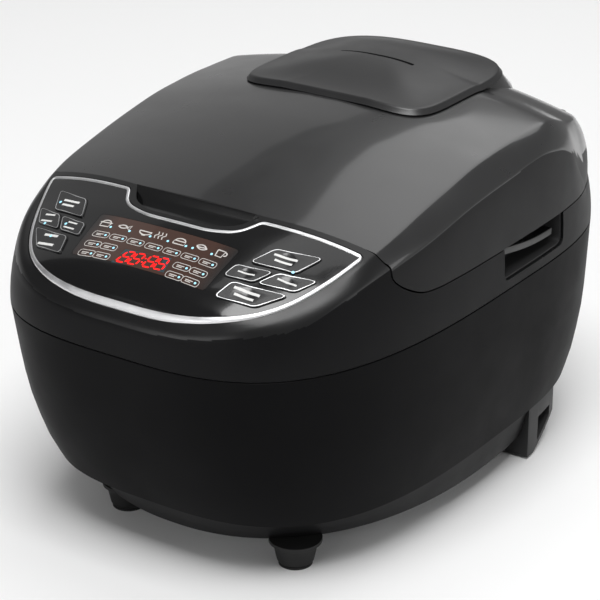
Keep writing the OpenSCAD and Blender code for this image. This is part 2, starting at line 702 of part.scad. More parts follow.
thermal_fuse();
inner_pot();
power_board();
wire_harness();
inlet_socket();
inlet_pins();
hinge_pin();
hinge_spring();
deck_screws();
lid_shell();
lid_liner();
lid_plate();
lid_gasket();
lid_plate_grommet();
lid_striker();
lid_screws();
steam_cup();
steam_tube();
cap_cover();
cap_cup();
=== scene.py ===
"""A countertop electric cooker: finished shells, panel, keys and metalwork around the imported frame."""

import json
import logging
import math
from dataclasses import dataclass
from enum import Enum
from typing import Callable, ClassVar, Iterable, Optional, Sequence

import bpy
import numpy as np
from mathutils import Matrix, Vector

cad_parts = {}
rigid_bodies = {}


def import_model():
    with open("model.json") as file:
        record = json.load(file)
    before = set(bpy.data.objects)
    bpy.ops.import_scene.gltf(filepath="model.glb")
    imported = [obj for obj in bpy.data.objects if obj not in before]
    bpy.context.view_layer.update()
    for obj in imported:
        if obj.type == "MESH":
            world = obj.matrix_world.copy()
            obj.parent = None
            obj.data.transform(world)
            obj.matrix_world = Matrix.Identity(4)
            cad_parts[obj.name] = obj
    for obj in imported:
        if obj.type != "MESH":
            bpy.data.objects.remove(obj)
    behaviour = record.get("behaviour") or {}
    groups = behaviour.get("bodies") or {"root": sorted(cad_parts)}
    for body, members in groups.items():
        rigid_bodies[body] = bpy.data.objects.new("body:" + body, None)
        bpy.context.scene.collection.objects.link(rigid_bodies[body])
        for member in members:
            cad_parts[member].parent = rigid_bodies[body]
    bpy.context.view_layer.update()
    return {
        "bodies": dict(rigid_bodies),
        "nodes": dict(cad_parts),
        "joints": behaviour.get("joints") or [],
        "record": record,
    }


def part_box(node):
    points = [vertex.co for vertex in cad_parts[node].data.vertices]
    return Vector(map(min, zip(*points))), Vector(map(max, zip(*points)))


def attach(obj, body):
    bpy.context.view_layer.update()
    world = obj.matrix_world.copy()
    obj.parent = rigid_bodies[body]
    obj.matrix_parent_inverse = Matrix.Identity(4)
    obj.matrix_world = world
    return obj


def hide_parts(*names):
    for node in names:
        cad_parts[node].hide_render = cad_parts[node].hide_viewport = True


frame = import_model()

MM = 0.001
LOG = logging.getLogger("cooker")

Table = tuple[tuple[float, float], ...]
Colour = tuple[float, float, float]


def corner_box(node: str) -> tuple[np.ndarray, np.ndarray]:
    """Gives the lowest and highest corners of a frame node in millimetres.

    Args:
        node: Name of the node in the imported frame.

    Returns:
        The two corners as arrays of three numbers.
    """
    low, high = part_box(node)
    return np.array(low) / MM, np.array(high) / MM


POT_LOW, POT_HIGH = corner_box("inner_pot")
MID_Y = (POT_LOW[1] + POT_HIGH[1]) / 2


class Body(str, Enum):
    """The rigid bodies of the frame that new pieces ride on."""

    BASE = "base_unit"
    LID = "lid"
    CAP = "steam_cap"
    BUTTON = "release_button"


class Side(int, Enum):
    """The two halves of the cooker, as signs of x."""

    LEFT = -1
    RIGHT = 1

    def span(self, near: float, far: float) -> tuple[float, float]:
        """Gives a span across on this half, in rising order."""
        return (near, far) if self is Side.RIGHT else (-far, -near)


# ---------------------------------------------------------------- finishes


class ShaderSketch:
    """A Principled material while its nodes are being wired."""

    def __init__(self, name: str) -> None:
        """Starts an empty material.

        Args:
            name: Name of the material.
        """
        self.material = bpy.data.materials.new(name)
        self.material.use_nodes = True
        self.nodes = self.material.node_tree.nodes
        self.links = self.material.node_tree.links
        self.surface = self.nodes["Principled BSDF"]
        self.place = self.nodes.new("ShaderNodeTexCoord").outputs["Object"]

    def set(self, socket: str, value: object) -> None:
        """Sets one socket of the shader."""
        self.surface.inputs[socket].default_value = value

    def stretched(self, stretch: Sequence[float]) -> bpy.types.NodeSocket:
        """Gives object coordinates scaled along each axis.

        Args:
            stretch: Scale along each axis.

        Returns:
            The socket that carries the scaled coordinates.
        """
        node = self.nodes.new("ShaderNodeMapping")
        node.inputs["Scale"].default_value = tuple(stretch)
        self.links.new(self.place, node.inputs["Vector"])
        return node.outputs["Vector"]

    def noise(self, scale: float, detail: float = 2.0,
              stretch: Sequence[float] = (1, 1, 1)) -> bpy.types.NodeSocket:
        """Adds a noise field.

        Args:
            scale: Cells per metre.
            detail: Octaves of the noise.
            stretch: Scale of the coordinates along each axis.

        Returns:
            The socket that carries the field, from 0 to 1.
        """
        node = self.nodes.new("ShaderNodeTexNoise")
        node.inputs["Scale"].default_value = scale
        node.inputs["Detail"].default_value = detail
        self.links.new(self.stretched(stretch), node.inputs["Vector"])
        return node.outputs["Fac"]

    def remap(self, source: bpy.types.NodeSocket, low: float, high: float,
              start: float = 0.3, end: float = 0.7) -> bpy.types.NodeSocket:
        """Maps a field from start..end to low..high.

        Args:
            source: The field.
            low: Lowest result.
            high: Highest result.
            start: Field value that gives the lowest result.
            end: Field value that gives the highest result.

        Returns:
            The socket that carries the result.
        """
        node = self.nodes.new("ShaderNodeMapRange")
        for socket, value in (("From Min", start), ("From Max", end), ("To Min", low), ("To Max", high)):
            node.inputs[socket].default_value = value
        self.links.new(source, node.inputs["Value"])
        return node.outputs["Result"]

    def two_tone(self, source: bpy.types.NodeSocket, first: Colour, second: Colour) -> None:
        """Colours the surface between two tones by a field.

        Args:
            source: The field, from 0 to 1.
            first: Colour where the field is 0.
            second: Colour where it is 1.
        """
        node = self.nodes.new("ShaderNodeMix")
        node.data_type = "RGBA"
        node.inputs["A"].default_value = (*first, 1)
        node.inputs["B"].default_value = (*second, 1)
        self.links.new(source, node.inputs["Factor"])
        self.links.new(node.outputs["Result"], self.surface.inputs["Base Color"])

    def relief(self, source: bpy.types.NodeSocket, depth_mm: float, strength: float) -> None:
        """Raises the surface by a field, on top of any relief already there.

        Args:
            source: The field.
            depth_mm: Height of the relief in millimetres.
            strength: How strongly it shows, from 0 to 1.
        """
        node = self.nodes.new("ShaderNodeBump")
        node.inputs["Distance"].default_value = depth_mm * MM
        node.inputs["Strength"].default_value = strength
        self.links.new(source, node.inputs["Height"])
        before = self.surface.inputs["Normal"].links
        if before:
            self.links.new(before[0].from_socket, node.inputs["Normal"])
        self.links.new(node.outputs["Normal"], self.surface.inputs["Normal"])


@dataclass(frozen=True)
class Finish:
    """A surface finish: the base of every material on the cooker."""

    name: str
    slot: str
    colour: Colour
    roughness: float

    made: ClassVar[dict[str, bpy.types.Material]] = {}

    def wire(self, sketch: ShaderSketch) -> None:
        """Adds this finish's own nodes; each kind of finish has its own."""
        raise NotImplementedError

    def material(self) -> bpy.types.Material:
        """Gives the finish's material, built on first use.

        Returns:
            The material.
        """
        if self.name not in self.made:
            sketch = ShaderSketch(self.name)
            sketch.set("Base Color", (*self.colour, 1))
            sketch.set("Roughness", self.roughness)
            self.wire(sketch)
            self.made[self.name] = sketch.material
        return self.made[self.name]

    def dress(self, piece: bpy.types.Object) -> None:
        """Puts the finish on a piece.

        Args:
            piece: The piece to dress.
        """
        piece.data.materials.clear()
        piece.data.materials.append(self.material())


@dataclass(frozen=True)
class Moulding(Finish):
    """Moulded plastic or rubber with a fine spark-eroded grain."""

    grain_mm: float = 0.5
    grain_depth: float = 0.03
    specular: float = 0.4
    coat: float = 0.0
    coat_roughness: float = 0.08

    def wire(self, sketch: ShaderSketch) -> None:
        """Adds grain, soft waves of gloss and a faint drift of colour.

        Args:
            sketch: The material being wired.
        """
        sketch.set("Specular IOR Level", self.specular)
        sketch.set("Coat Weight", self.coat)
        sketch.set("Coat Roughness", self.coat_roughness)
        gloss = sketch.remap(sketch.noise(40, 4), self.roughness - 0.03, self.roughness + 0.04)
        sketch.links.new(gloss, sketch.surface.inputs["Roughness"])
        lighter = tuple(min(1.0, c * 1.14 + 0.001) for c in self.colour)
        sketch.two_tone(sketch.remap(sketch.noise(9, 3), 0, 1), self.colour, lighter)
        sketch.relief(sketch.noise(1 / (self.grain_mm * MM), 3), self.grain_depth, 0.6)


@dataclass(frozen=True)
class Metal(Finish):
    """Sheet or bar metal with fine draw lines along one axis."""

    lines: tuple[float, float, float] = (1.0, 1.0, 12.0)
    depth: float = 0.01

    def wire(self, sketch: ShaderSketch) -> None:
        """Adds draw lines and a cloudy change of gloss.

        Args:
            sketch: The material being wired.
        """
        sketch.set("Metallic", 1.0)
        gloss = sketch.remap(sketch.noise(160, 4, self.lines), self.roughness - 0.06, self.roughness + 0.08)
        sketch.links.new(gloss, sketch.surface.inputs["Roughness"])
        darker = tuple(c * 0.82 for c in self.colour)
        sketch.two_tone(sketch.remap(sketch.noise(35, 3), 0, 1), darker, self.colour)
        sketch.relief(sketch.noise(900, 2, self.lines), self.depth, 0.5)


@dataclass(frozen=True)
class Coating(Finish):
    """Dark non-stick coating with pale flecks."""

    fleck: Colour = (0.22, 0.22, 0.23)

    def wire(self, sketch: ShaderSketch) -> None:
        """Adds the flecks and a light spray texture.

        Args:
            sketch: The material being wired.
        """
        sketch.set("Metallic", 0.35)
        sketch.two_tone(sketch.remap(sketch.noise(1400, 1), 0, 1, 0.66, 0.72), self.colour, self.fleck)
        sketch.relief(sketch.noise(1800, 3), 0.02, 0.5)


@dataclass(frozen=True)
class Lens(Finish):
    """Tinted display window that darkens towards its two ends."""

    end_colour: Colour = (0.012, 0.011, 0.011)
    half_width_mm: float = 50.0

    def wire(self, sketch: ShaderSketch) -> None:
        """Fades the tint with the distance from the middle.

        Args:
            sketch: The material being wired.
        """
        sketch.set("Specular IOR Level", 0.5)
        sketch.set("Coat Weight", 0.25)
        sketch.set("Coat Roughness", 0.03)
        split = sketch.nodes.new("ShaderNodeSeparateXYZ")
        sketch.links.new(sketch.place, split.inputs["Vector"])
        away = sketch.nodes.new("ShaderNodeMath")
        away.operation = "ABSOLUTE"
        sketch.links.new(split.outputs["X"], away.inputs[0])
        edge = self.half_width_mm * MM
        sketch.two_tone(sketch.remap(away.outputs[0], 0, 1, edge * 0.7, edge), self.colour, self.end_colour)
        sketch.relief(sketch.noise(120, 1), 0.01, 0.1)


@dataclass(frozen=True)
class Glow(Finish):
    """A lit indicator or digit segment."""

    strength: float = 1.0

    def wire(self, sketch: ShaderSketch) -> None:
        """Makes the surface glow, a little unevenly.

        Args:
            sketch: The material being wired.
        """
        sketch.set("Emission Color", (*self.colour, 1))
        sketch.set("Emission Strength", self.strength)
        dimmer = tuple(c * 0.85 for c in self.colour)
        sketch.two_tone(sketch.remap(sketch.noise(300, 2), 0, 1), dimmer, self.colour)


@dataclass(frozen=True)
class Board(Finish):
    """Circuit board with copper tracks under green lacquer."""

    track: Colour = (0.10, 0.36, 0.16)

    def wire(self, sketch: ShaderSketch) -> None:
        """Draws the tracks as stepped lines.

        Args:
            sketch: The material being wired.
        """
        cells = sketch.nodes.new("ShaderNodeTexBrick")
        cells.inputs["Scale"].default_value = 260
        cells.inputs["Mortar Size"].default_value = 0.03
        sketch.links.new(sketch.place, cells.inputs["Vector"])
        sketch.two_tone(cells.outputs["Fac"], self.colour, self.track)
        sketch.relief(cells.outputs["Fac"], 0.03, 0.4)


class Finishes(Enum):
    """Every finish on the cooker, by the piece that wears it."""

    SHELL = Moulding("matte_black_shell", "shell_black", (0.0035, 0.0035, 0.0038), 0.45, specular=0.035)
    # Painted shade: the lid's steep side faces get this darker, less reflective copy of the lid plastic. Its
    # higher roughness and grain are a matte texture; its darker colour and weaker specular are painted shade.
    LID_FLANK_SHADED = Moulding("matte_lid_flank_with_painted_shade", "lid_black", (0.007, 0.007, 0.0074), 0.42, grain_depth=0.012,
                         specular=0.16)
    # Painted shade: the collar's steep side faces get this darker, less reflective copy of the collar
    # plastic. Its higher roughness and grain are a matte texture; its darker colour and weaker specular are
    # painted shade.
    COLLAR_FLANK_SHADED = Moulding("matte_collar_flank_with_painted_shade", "shell_black", (0.005, 0.005, 0.0054), 0.42,
                            grain_depth=0.012, specular=0.08)
    COLLAR = Moulding("satin_black_collar", "shell_black", (0.006, 0.006, 0.0063), 0.3, specular=0.34)
    LID = Moulding("satin_lid", "lid_black", (0.011, 0.011, 0.0115), 0.3, grain_depth=0.004, specular=0.5,
                   coat=0.7, coat_roughness=0.07)
    CAP = Moulding("satin_cap", "cap_black", (0.014, 0.014, 0.0145), 0.36, grain_depth=0.006, specular=0.5)
    BUTTON = Moulding("gloss_button", "lid_black", (0.004, 0.004, 0.0043), 0.22, grain_depth=0.003,
                      specular=0.4, coat=0.5, coat_roughness=0.05)
    PANEL = Moulding("polished_panel", "panel_gloss", (0.004, 0.004, 0.0043), 0.14, grain_depth=0.002,
                     specular=0.35, coat=0.3, coat_roughness=0.04)
    KEY = Moulding("polished_key", "panel_gloss", (0.007, 0.007, 0.0075), 0.24, grain_depth=0.003,
                   specular=0.45, coat=0.3, coat_roughness=0.06)
    SKIRT = Moulding("dark_grey_skirt", "dark_grey", (0.009, 0.009, 0.0094), 0.5, specular=0.14)
    RECESS = Moulding("deep_black_tray", "dark_grey", (0.02, 0.02, 0.0205), 0.5, specular=0.3)
    LINER = Moulding("grey_liner", "dark_grey", (0.045, 0.045, 0.047), 0.5)
    RUBBER = Moulding("foot_rubber", "foot_rubber", (0.011, 0.011, 0.011), 0.62, grain_mm=0.8, specular=0.3)
    SILICONE = Moulding("pale_silicone", "seal_silicone", (0.62, 0.62, 0.58), 0.45, grain_mm=1.0)
    INLET = Moulding("inlet_black", "inlet_black", (0.012, 0.012, 0.012), 0.45)
    MODULE = Moulding("dark_module", "display_parts", (0.03, 0.035, 0.04), 0.4)
    CERAMIC = Moulding("fuse_ceramic", "fuse_ceramic", (0.6, 0.55, 0.45), 0.6, grain_mm=0.3)
    WIRE = Moulding("wire_jacket", "wire_jacket", (0.3, 0.02, 0.02), 0.4)
    TRIM = Metal("bright_trim", "silver_line", (0.9, 0.9, 0.91), 0.42, lines=(1, 1, 1), depth=0.0005)
    OUTLINE = Metal("key_outline", "silver_line", (0.8, 0.8, 0.81), 0.4, lines=(1, 1, 1), depth=0.0005)
    STEEL = Metal("plated_steel", "steel", (0.56, 0.57, 0.58), 0.3)
    ALUMINIUM = Metal("plain_aluminium", "aluminium", (0.78, 0.79, 0.80), 0.34, lines=(1, 1, 1))
    POT = Coating("non_stick_coating", "pot_coating", (0.045, 0.045, 0.047), 0.4)
    WINDOW = Lens("tinted_window", "display_lens", (0.052, 0.026, 0.019), 0.2)
    SCREEN = Moulding("digit_screen", "display_parts", (0.018, 0.045, 0.055), 0.3, grain_depth=0.002)
    MARK = Moulding("pale_marking", "panel_gloss", (0.62, 0.62, 0.61), 0.45, grain_depth=0.002)
    MARK_DIM = Moulding("grey_marking", "panel_gloss", (0.5, 0.48, 0.46), 0.45, grain_depth=0.002)
    BLUE_DOT = Glow("blue_indicator", "display_parts", (0.33, 0.68, 0.86), 0.3, strength=0.55)
    RED_DIGIT = Glow("red_segment", "display_parts", (0.9, 0.005, 0.005), 0.3, strength=0.9)
    GREEN_BOARD = Board("green_board", "circuit_board", (0.02, 0.12, 0.05), 0.35)


# ---------------------------------------------------------------- curves and meshes


def follow(table: Table, at: np.ndarray) -> np.ndarray:
    """Reads a smooth curve without overshoot through a table of points.

    Args:
        table: Points in rising order of their first number.
        at: Places to read the curve at.

    Returns:
        The curve's values.
    """
    x, y = (np.array(column, float) for column in zip(*table))
    step = np.diff(x)
    slope = np.diff(y) / step
    tangent = np.concatenate(([slope[0]], np.zeros(len(x) - 2), [slope[-1]]))
    same = slope[:-1] * slope[1:] > 0
    total = slope[:-1] + slope[1:]
    tangent[1:-1][same] = 2 * slope[:-1][same] * slope[1:][same] / total[same]
    at = np.clip(at, x[0], x[-1])
    k = np.clip(np.searchsorted(x, at, side="right") - 1, 0, len(x) - 2)
    u = (at - x[k]) / step[k]
    return (y[k] * (1 + 2 * u) * (1 - u) ** 2 + tangent[k] * step[k] * u * (1 - u) ** 2
            + y[k + 1] * u * u * (3 - 2 * u) + tangent[k + 1] * step[k] * u * u * (u - 1))


def signed_power(value: np.ndarray, power: float) -> np.ndarray:
    """Raises the size of a value to a power and keeps its sign."""
    return np.sign(value) * np.abs(value) ** power


def squircle(turn: np.ndarray, half: float | np.ndarray, front: float, back: float, front_n: float,
             back_n: float) -> np.ndarray:
    """Draws a rounded oblong whose front and back halves differ.

    Args:
        turn: Angles in radians, from +x anticlockwise.
        half: Half width.
        front: Reach towards -y.
        back: Reach towards +y.
        front_n: Squareness of the front half.
        back_n: Squareness of the back half.

    Returns:
        Points in plan, one row per angle.
    """
    sine, cosine = np.sin(turn), np.cos(turn)
    n = np.where(sine < 0, front_n, back_n)
    reach = np.where(sine < 0, front, back)
    return np.stack([half * signed_power(cosine, 2 / n), reach * signed_power(sine, 2 / n)], axis=1)


def at_height(plan: np.ndarray, z: float | np.ndarray) -> np.ndarray:
    """Puts points at a height, whatever height they had."""
    return np.column_stack([plan[:, :2], np.broadcast_to(z, len(plan))])


def bend(a: np.ndarray, b: np.ndarray, c: np.ndarray, u: float | np.ndarray) -> np.ndarray:
    """Gives points on the parabola from a to c that leaves towards b."""
    return (1 - u) ** 2 * a + 2 * u * (1 - u) * b + u * u * c


def rounded(points: Sequence[Sequence[float]], radii: Sequence[float], steps: int = 8) -> np.ndarray:
    """Rounds the corners of a closed outline.

    Args:
        points: Corners in order.
        radii: How far from each corner its rounding starts; 0 keeps it sharp.
        steps: Pieces of each rounding.

    Returns:
        The outline's points.
    """
    corners = np.array(points, float)
    out = []
    for i, (corner, radius) in enumerate(zip(corners, radii)):
        if radius <= 0:
            out.append(corner)
            continue
        ends = []
        for other in (corners[i - 1], corners[(i + 1) % len(corners)]):
            away = other - corner
            ends.append(corner + away / np.linalg.norm(away) * min(radius, 0.48 * np.linalg.norm(away)))
        out.extend(bend(ends[0], corner, ends[1], u) for u in np.linspace(0, 1, steps + 1))
    return np.array(out)


def evenly(outline: np.ndarray, spacing: float, closed: bool = True) -> np.ndarray:
    """Spaces points evenly along an outline.

    Args:
        outline: Points of the outline.
        spacing: Distance between the new points.
        closed: Whether the outline returns to its start.

    Returns:
        The new points.
    """
    path = np.vstack([outline, outline[:1]]) if closed else outline
    length = np.concatenate([[0], np.cumsum(np.linalg.norm(np.diff(path, axis=0), axis=1))])
    count = max(8, int(length[-1] / spacing))
    at = np.linspace(0, length[-1], count, endpoint=not closed)
    return np.stack([np.interp(at, length, path[:, k]) for k in range(path.shape[1])], axis=1)


def offset_outline(outline: np.ndarray, distance: float) -> np.ndarray:
    """Moves a closed anticlockwise outline outwards by a distance.

    Args:
        outline: Points in plan, anticlockwise.
        distance: How far outwards; negative goes inwards.

    Returns:
        The moved points.
    """
    tangent = np.roll(outline, -1, axis=0) - np.roll(outline, 1, axis=0)
    tangent /= np.linalg.norm(tangent, axis=1)[:, None] + 1e-9
    return outline + distance * np.stack([tangent[:, 1], -tangent[:, 0]], axis=1)


def anticlockwise(outline: np.ndarray) -> np.ndarray:
    """Gives the outline in anticlockwise order.

    Args:
        outline: Points in plan.

    Returns:
        The points, reversed if they ran clockwise.
    """
    x, y = outline[:, 0], outline[:, 1]
    area = np.sum(x * np.roll(y, -1) - np.roll(x, -1) * y)
    return outline if area > 0 else outline[::-1]


@dataclass(frozen=True)
class Shell:
    """A closed skin: points in millimetres about the widest section, and its faces."""

    points: np.ndarray
    faces: list[tuple[int, ...]]

    def placed(self, spot: "Spot") -> "Shell":
        """Gives the same skin, read as drawn in a spot's own axes."""
        return Shell(spot.place(self.points), self.faces)

    def mesh(self, name: str) -> bpy.types.Mesh:
        """Makes a mesh of the skin, in metres and in the frame's own place.

        Args:
            name: Name of the mesh.

        Returns:
            The mesh.
        """
        moved = (self.points + (0, MID_Y, 0)) * MM
        mesh = bpy.data.meshes.new(name)
        mesh.from_pydata([tuple(p) for p in moved], [], self.faces)
        mesh.update()
        return mesh


@dataclass(frozen=True)
class Spot:
    """A point of the panel with its own axes: across, along and out of the surface."""

    origin: np.ndarray
    axes: np.ndarray

    def place(self, points: np.ndarray) -> np.ndarray:
        """Moves points from the spot's axes to the body's."""
        return self.origin + np.asarray(points, float) @ self.axes


def joined(shells: Iterable[Shell]) -> Shell:
    """Puts several skins into one.

    Args:
        shells: The skins.

    Returns:
        One skin that holds them all.
    """
    points, faces, start = [], [], 0
    for shell in shells:
        points.append(shell.points)
        faces.extend(tuple(k + start for k in face) for face in shell.faces)
        start += len(shell.points)
    return Shell(np.vstack(points), faces)


def loft(rings: Sequence[np.ndarray], tip: Optional[Sequence[float]] = None) -> Shell:
    """Skins rings of equal count, listed upwards and anticlockwise from above.

    Args:
        rings: Rings of points.
        tip: A single point that closes the top; the last ring closes it otherwise.

    Returns:
        A closed skin.
    """
    n, last = len(rings[0]), len(rings) - 1
    points = np.vstack(list(rings) + ([np.array([tip], float)] if tip is not None else []))
    ahead = [(i + 1) % n for i in range(n)]
    faces = [(k * n + i, k * n + ahead[i], (k + 1) * n + ahead[i], (k + 1) * n + i)
             for k in range(last) for i in range(n)]
    faces.append(tuple(range(n - 1, -1, -1)))
    if tip is None:
        faces.append(tuple(last * n + i for i in range(n)))
    else:
        faces.extend((last * n + i, last * n + ahead[i], len(points) - 1) for i in range(n))
    return Shell(points, faces)


def tube_loft(rings: Sequence[np.ndarray]) -> Shell:
    """Skins rings that close on themselves, so the last ring meets the first.

    Args:
        rings: Rings of equal count.

    Returns:
        The closed skin.
    """
    n, count = len(rings[0]), len(rings)
    faces = [(k * n + i, k * n + (i + 1) % n, ((k + 1) % count) * n + (i + 1) % n, ((k + 1) % count) * n + i)
             for k in range(count) for i in range(n)]
    return Shell(np.vstack(list(rings)), faces)


def prism(outline: Sequence[Sequence[float]], low: float, high: float) -> Shell:
    """Raises a plan outline between two heights."""
    plan = anticlockwise(np.asarray(outline, float))
    return loft([at_height(plan, low), at_height(plan, high)])


def side_prism(outline: Sequence[Sequence[float]], low: float, high: float) -> Shell:
    """Carries a side view of [y, z] points across the width from x = low to x = high."""
    view = anticlockwise(np.asarray(outline, float))
    return loft([np.column_stack([np.full(len(view), x), view]) for x in (low, high)])


def round_bar(centre: Sequence[float], radius: float, length: float, axis: int, edge: float = 0.0,
              steps: int = 96) -> Shell:
    """Makes a round bar that starts at its centre point and runs along an axis.

    Args:
        centre: Middle of the bar's first end.
        radius: Radius of the bar.
        length: Length along the axis.
        axis: 0, 1 or 2.
        edge: How much of each end is rounded.
        steps: Sides of the bar.

    Returns:
        The closed bar.
    """
    turn = np.linspace(0, 2 * math.pi, steps, endpoint=False)
    across = ((1, 2), (2, 0), (0, 1))[axis]
    ends = [(0.0, radius)]
    if edge > 0:
        ends = [(0, radius - edge), (0.3 * edge, radius - 0.3 * edge), (edge, radius)]
    rings = []
    for reach, size in ends + [(length - reach, size) for reach, size in reversed(ends)]:
        ring = np.tile(np.array(centre, float), (steps, 1))
        ring[:, across[0]] += size * np.cos(turn)
        ring[:, across[1]] += size * np.sin(turn)
        ring[:, axis] += reach
        rings.append(ring)
    return loft(rings)


def block(low: Sequence[float], high: Sequence[float]) -> Shell:
    """Makes a block between two corners."""
    (x0, y0, z0), (x1, y1, z1) = low, high
    return prism([(x0, y0), (x1, y0), (x1, y1), (x0, y1)], z0, z1)


def height_slab(xs: np.ndarray, ys: np.ndarray, height: Callable[[np.ndarray, np.ndarray], np.ndarray],
                low: float, high: float) -> Shell:
    """Makes a slab that follows a surface.

    Args:
        xs: Grid lines across.
        ys: Grid lines along.
        height: Gives the surface's height.
        low: Underside, measured from the surface.
        high: Top side, measured from the surface.

    Returns:
        The closed slab.
    """
    gx, gy = (grid.ravel() for grid in np.meshgrid(xs, ys))
    z = height(gx, gy)
    points = np.vstack([np.column_stack([gx, gy, z + low]), np.column_stack([gx, gy, z + high])])
    nx, ny, top = len(xs), len(ys), len(gx)
    faces = []
    for j in range(ny - 1):
        for i in range(nx - 1):
            a, b, c, d = j * nx + i, j * nx + i + 1, (j + 1) * nx + i + 1, (j + 1) * nx + i
            faces += [(a + top, b + top, c + top, d + top), (d, c, b, a)]
    rim = ([i for i in range(nx)] + [j * nx + nx - 1 for j in range(1, ny)]
           + [(ny - 1) * nx + i for i in range(nx - 2, -1, -1)] + [j * nx for j in range(ny - 2, 0, -1)])
    faces += [(a, b, b + top, a + top) for a, b in zip(rim, rim[1:] + rim[:1])]
    return Shell(points, faces)


def add_object(name: str, mesh: bpy.types.Mesh) -> bpy.types.Object:
    """Puts a mesh in the scene as an object.

    Args:
        name: Name of the object.
        mesh: Its mesh.

    Returns:
        The new object.
    """
    piece = bpy.data.objects.new(name, mesh)
    bpy.context.scene.collection.objects.link(piece)
    return piece


def bake_modifiers(piece: bpy.types.Object) -> None:
    """Turns a piece's modifiers into its mesh.

    Args:
        piece: The piece to bake.
    """
    bpy.context.view_layer.update()
    evaluated = piece.evaluated_get(bpy.context.evaluated_depsgraph_get())
    mesh = bpy.data.meshes.new_from_object(evaluated)
    piece.modifiers.clear()
    piece.data = mesh


class Cut(str, Enum):
    """How one solid changes another."""

    REMOVE = "DIFFERENCE"
    JOIN = "UNION"
    KEEP = "INTERSECT"


def removing(*solids: Shell) -> list[tuple[Cut, Shell]]:
    """Gives the cuts that take solids away."""
    return [(Cut.REMOVE, solid) for solid in solids]


def carve(piece: bpy.types.Object, cuts: Iterable[tuple[Cut, Shell]]) -> None:
    """Removes, joins or keeps solids, one after another.

    Args:
        piece: The piece to change.
        cuts: Pairs of a way to cut and the solid to cut with.
    """
    for way, shell in cuts:
        tool = add_object("cutting_tool", shell.mesh("cutting_tool"))
        modifier = piece.modifiers.new("cut", "BOOLEAN")
        modifier.operation = way.value
        modifier.object = tool
        modifier.solver = "MANIFOLD"
        bake_modifiers(piece)
        if not piece.data.polygons:
            raise ValueError(f"nothing is left of {piece.name}")
        bpy.data.objects.remove(tool)


def combined(shell: Shell, cuts: Iterable[tuple[Cut, Shell]]) -> Shell:
    """Gives the skin that is left of a solid after some cuts.

    Args:
        shell: The solid.
        cuts: Pairs of a way to cut and the solid to cut with.

    Returns:
        The skin of what is left.
    """
    piece = add_object("working_piece", shell.mesh("working_piece"))
    carve(piece, cuts)
    points = np.array([tuple(v.co) for v in piece.data.vertices]) / MM - (0, MID_Y, 0)
    faces = [tuple(face.vertices) for face in piece.data.polygons]
    bpy.data.objects.remove(piece)
    return Shell(points, faces)


def soften(piece: bpy.types.Object, angle: float = 28.0) -> None:
    """Shades a piece smooth, with sharp edges above an angle in degrees."""
    piece.data.shade_smooth()
    piece.data.set_sharp_from_angle(angle=math.radians(angle))


def round_edges(piece: bpy.types.Object, width_mm: float, angle: float = 40.0, segments: int = 3) -> None:
    """Rounds a piece's sharp edges with a small bevel.

    Args:
        piece: The piece to change.
        width_mm: Width of the rounding in millimetres.
        angle: Edges sharper than this are rounded, in degrees.
        segments: Facets of the rounding.
    """
    modifier = piece.modifiers.new("round_edges", "BEVEL")
    modifier.width = width_mm * MM
    modifier.segments = segments
    modifier.limit_method = "ANGLE"
    modifier.angle_limit = math.radians(angle)
    bake_modifiers(piece)


# ---------------------------------------------------------------- the cooker's form


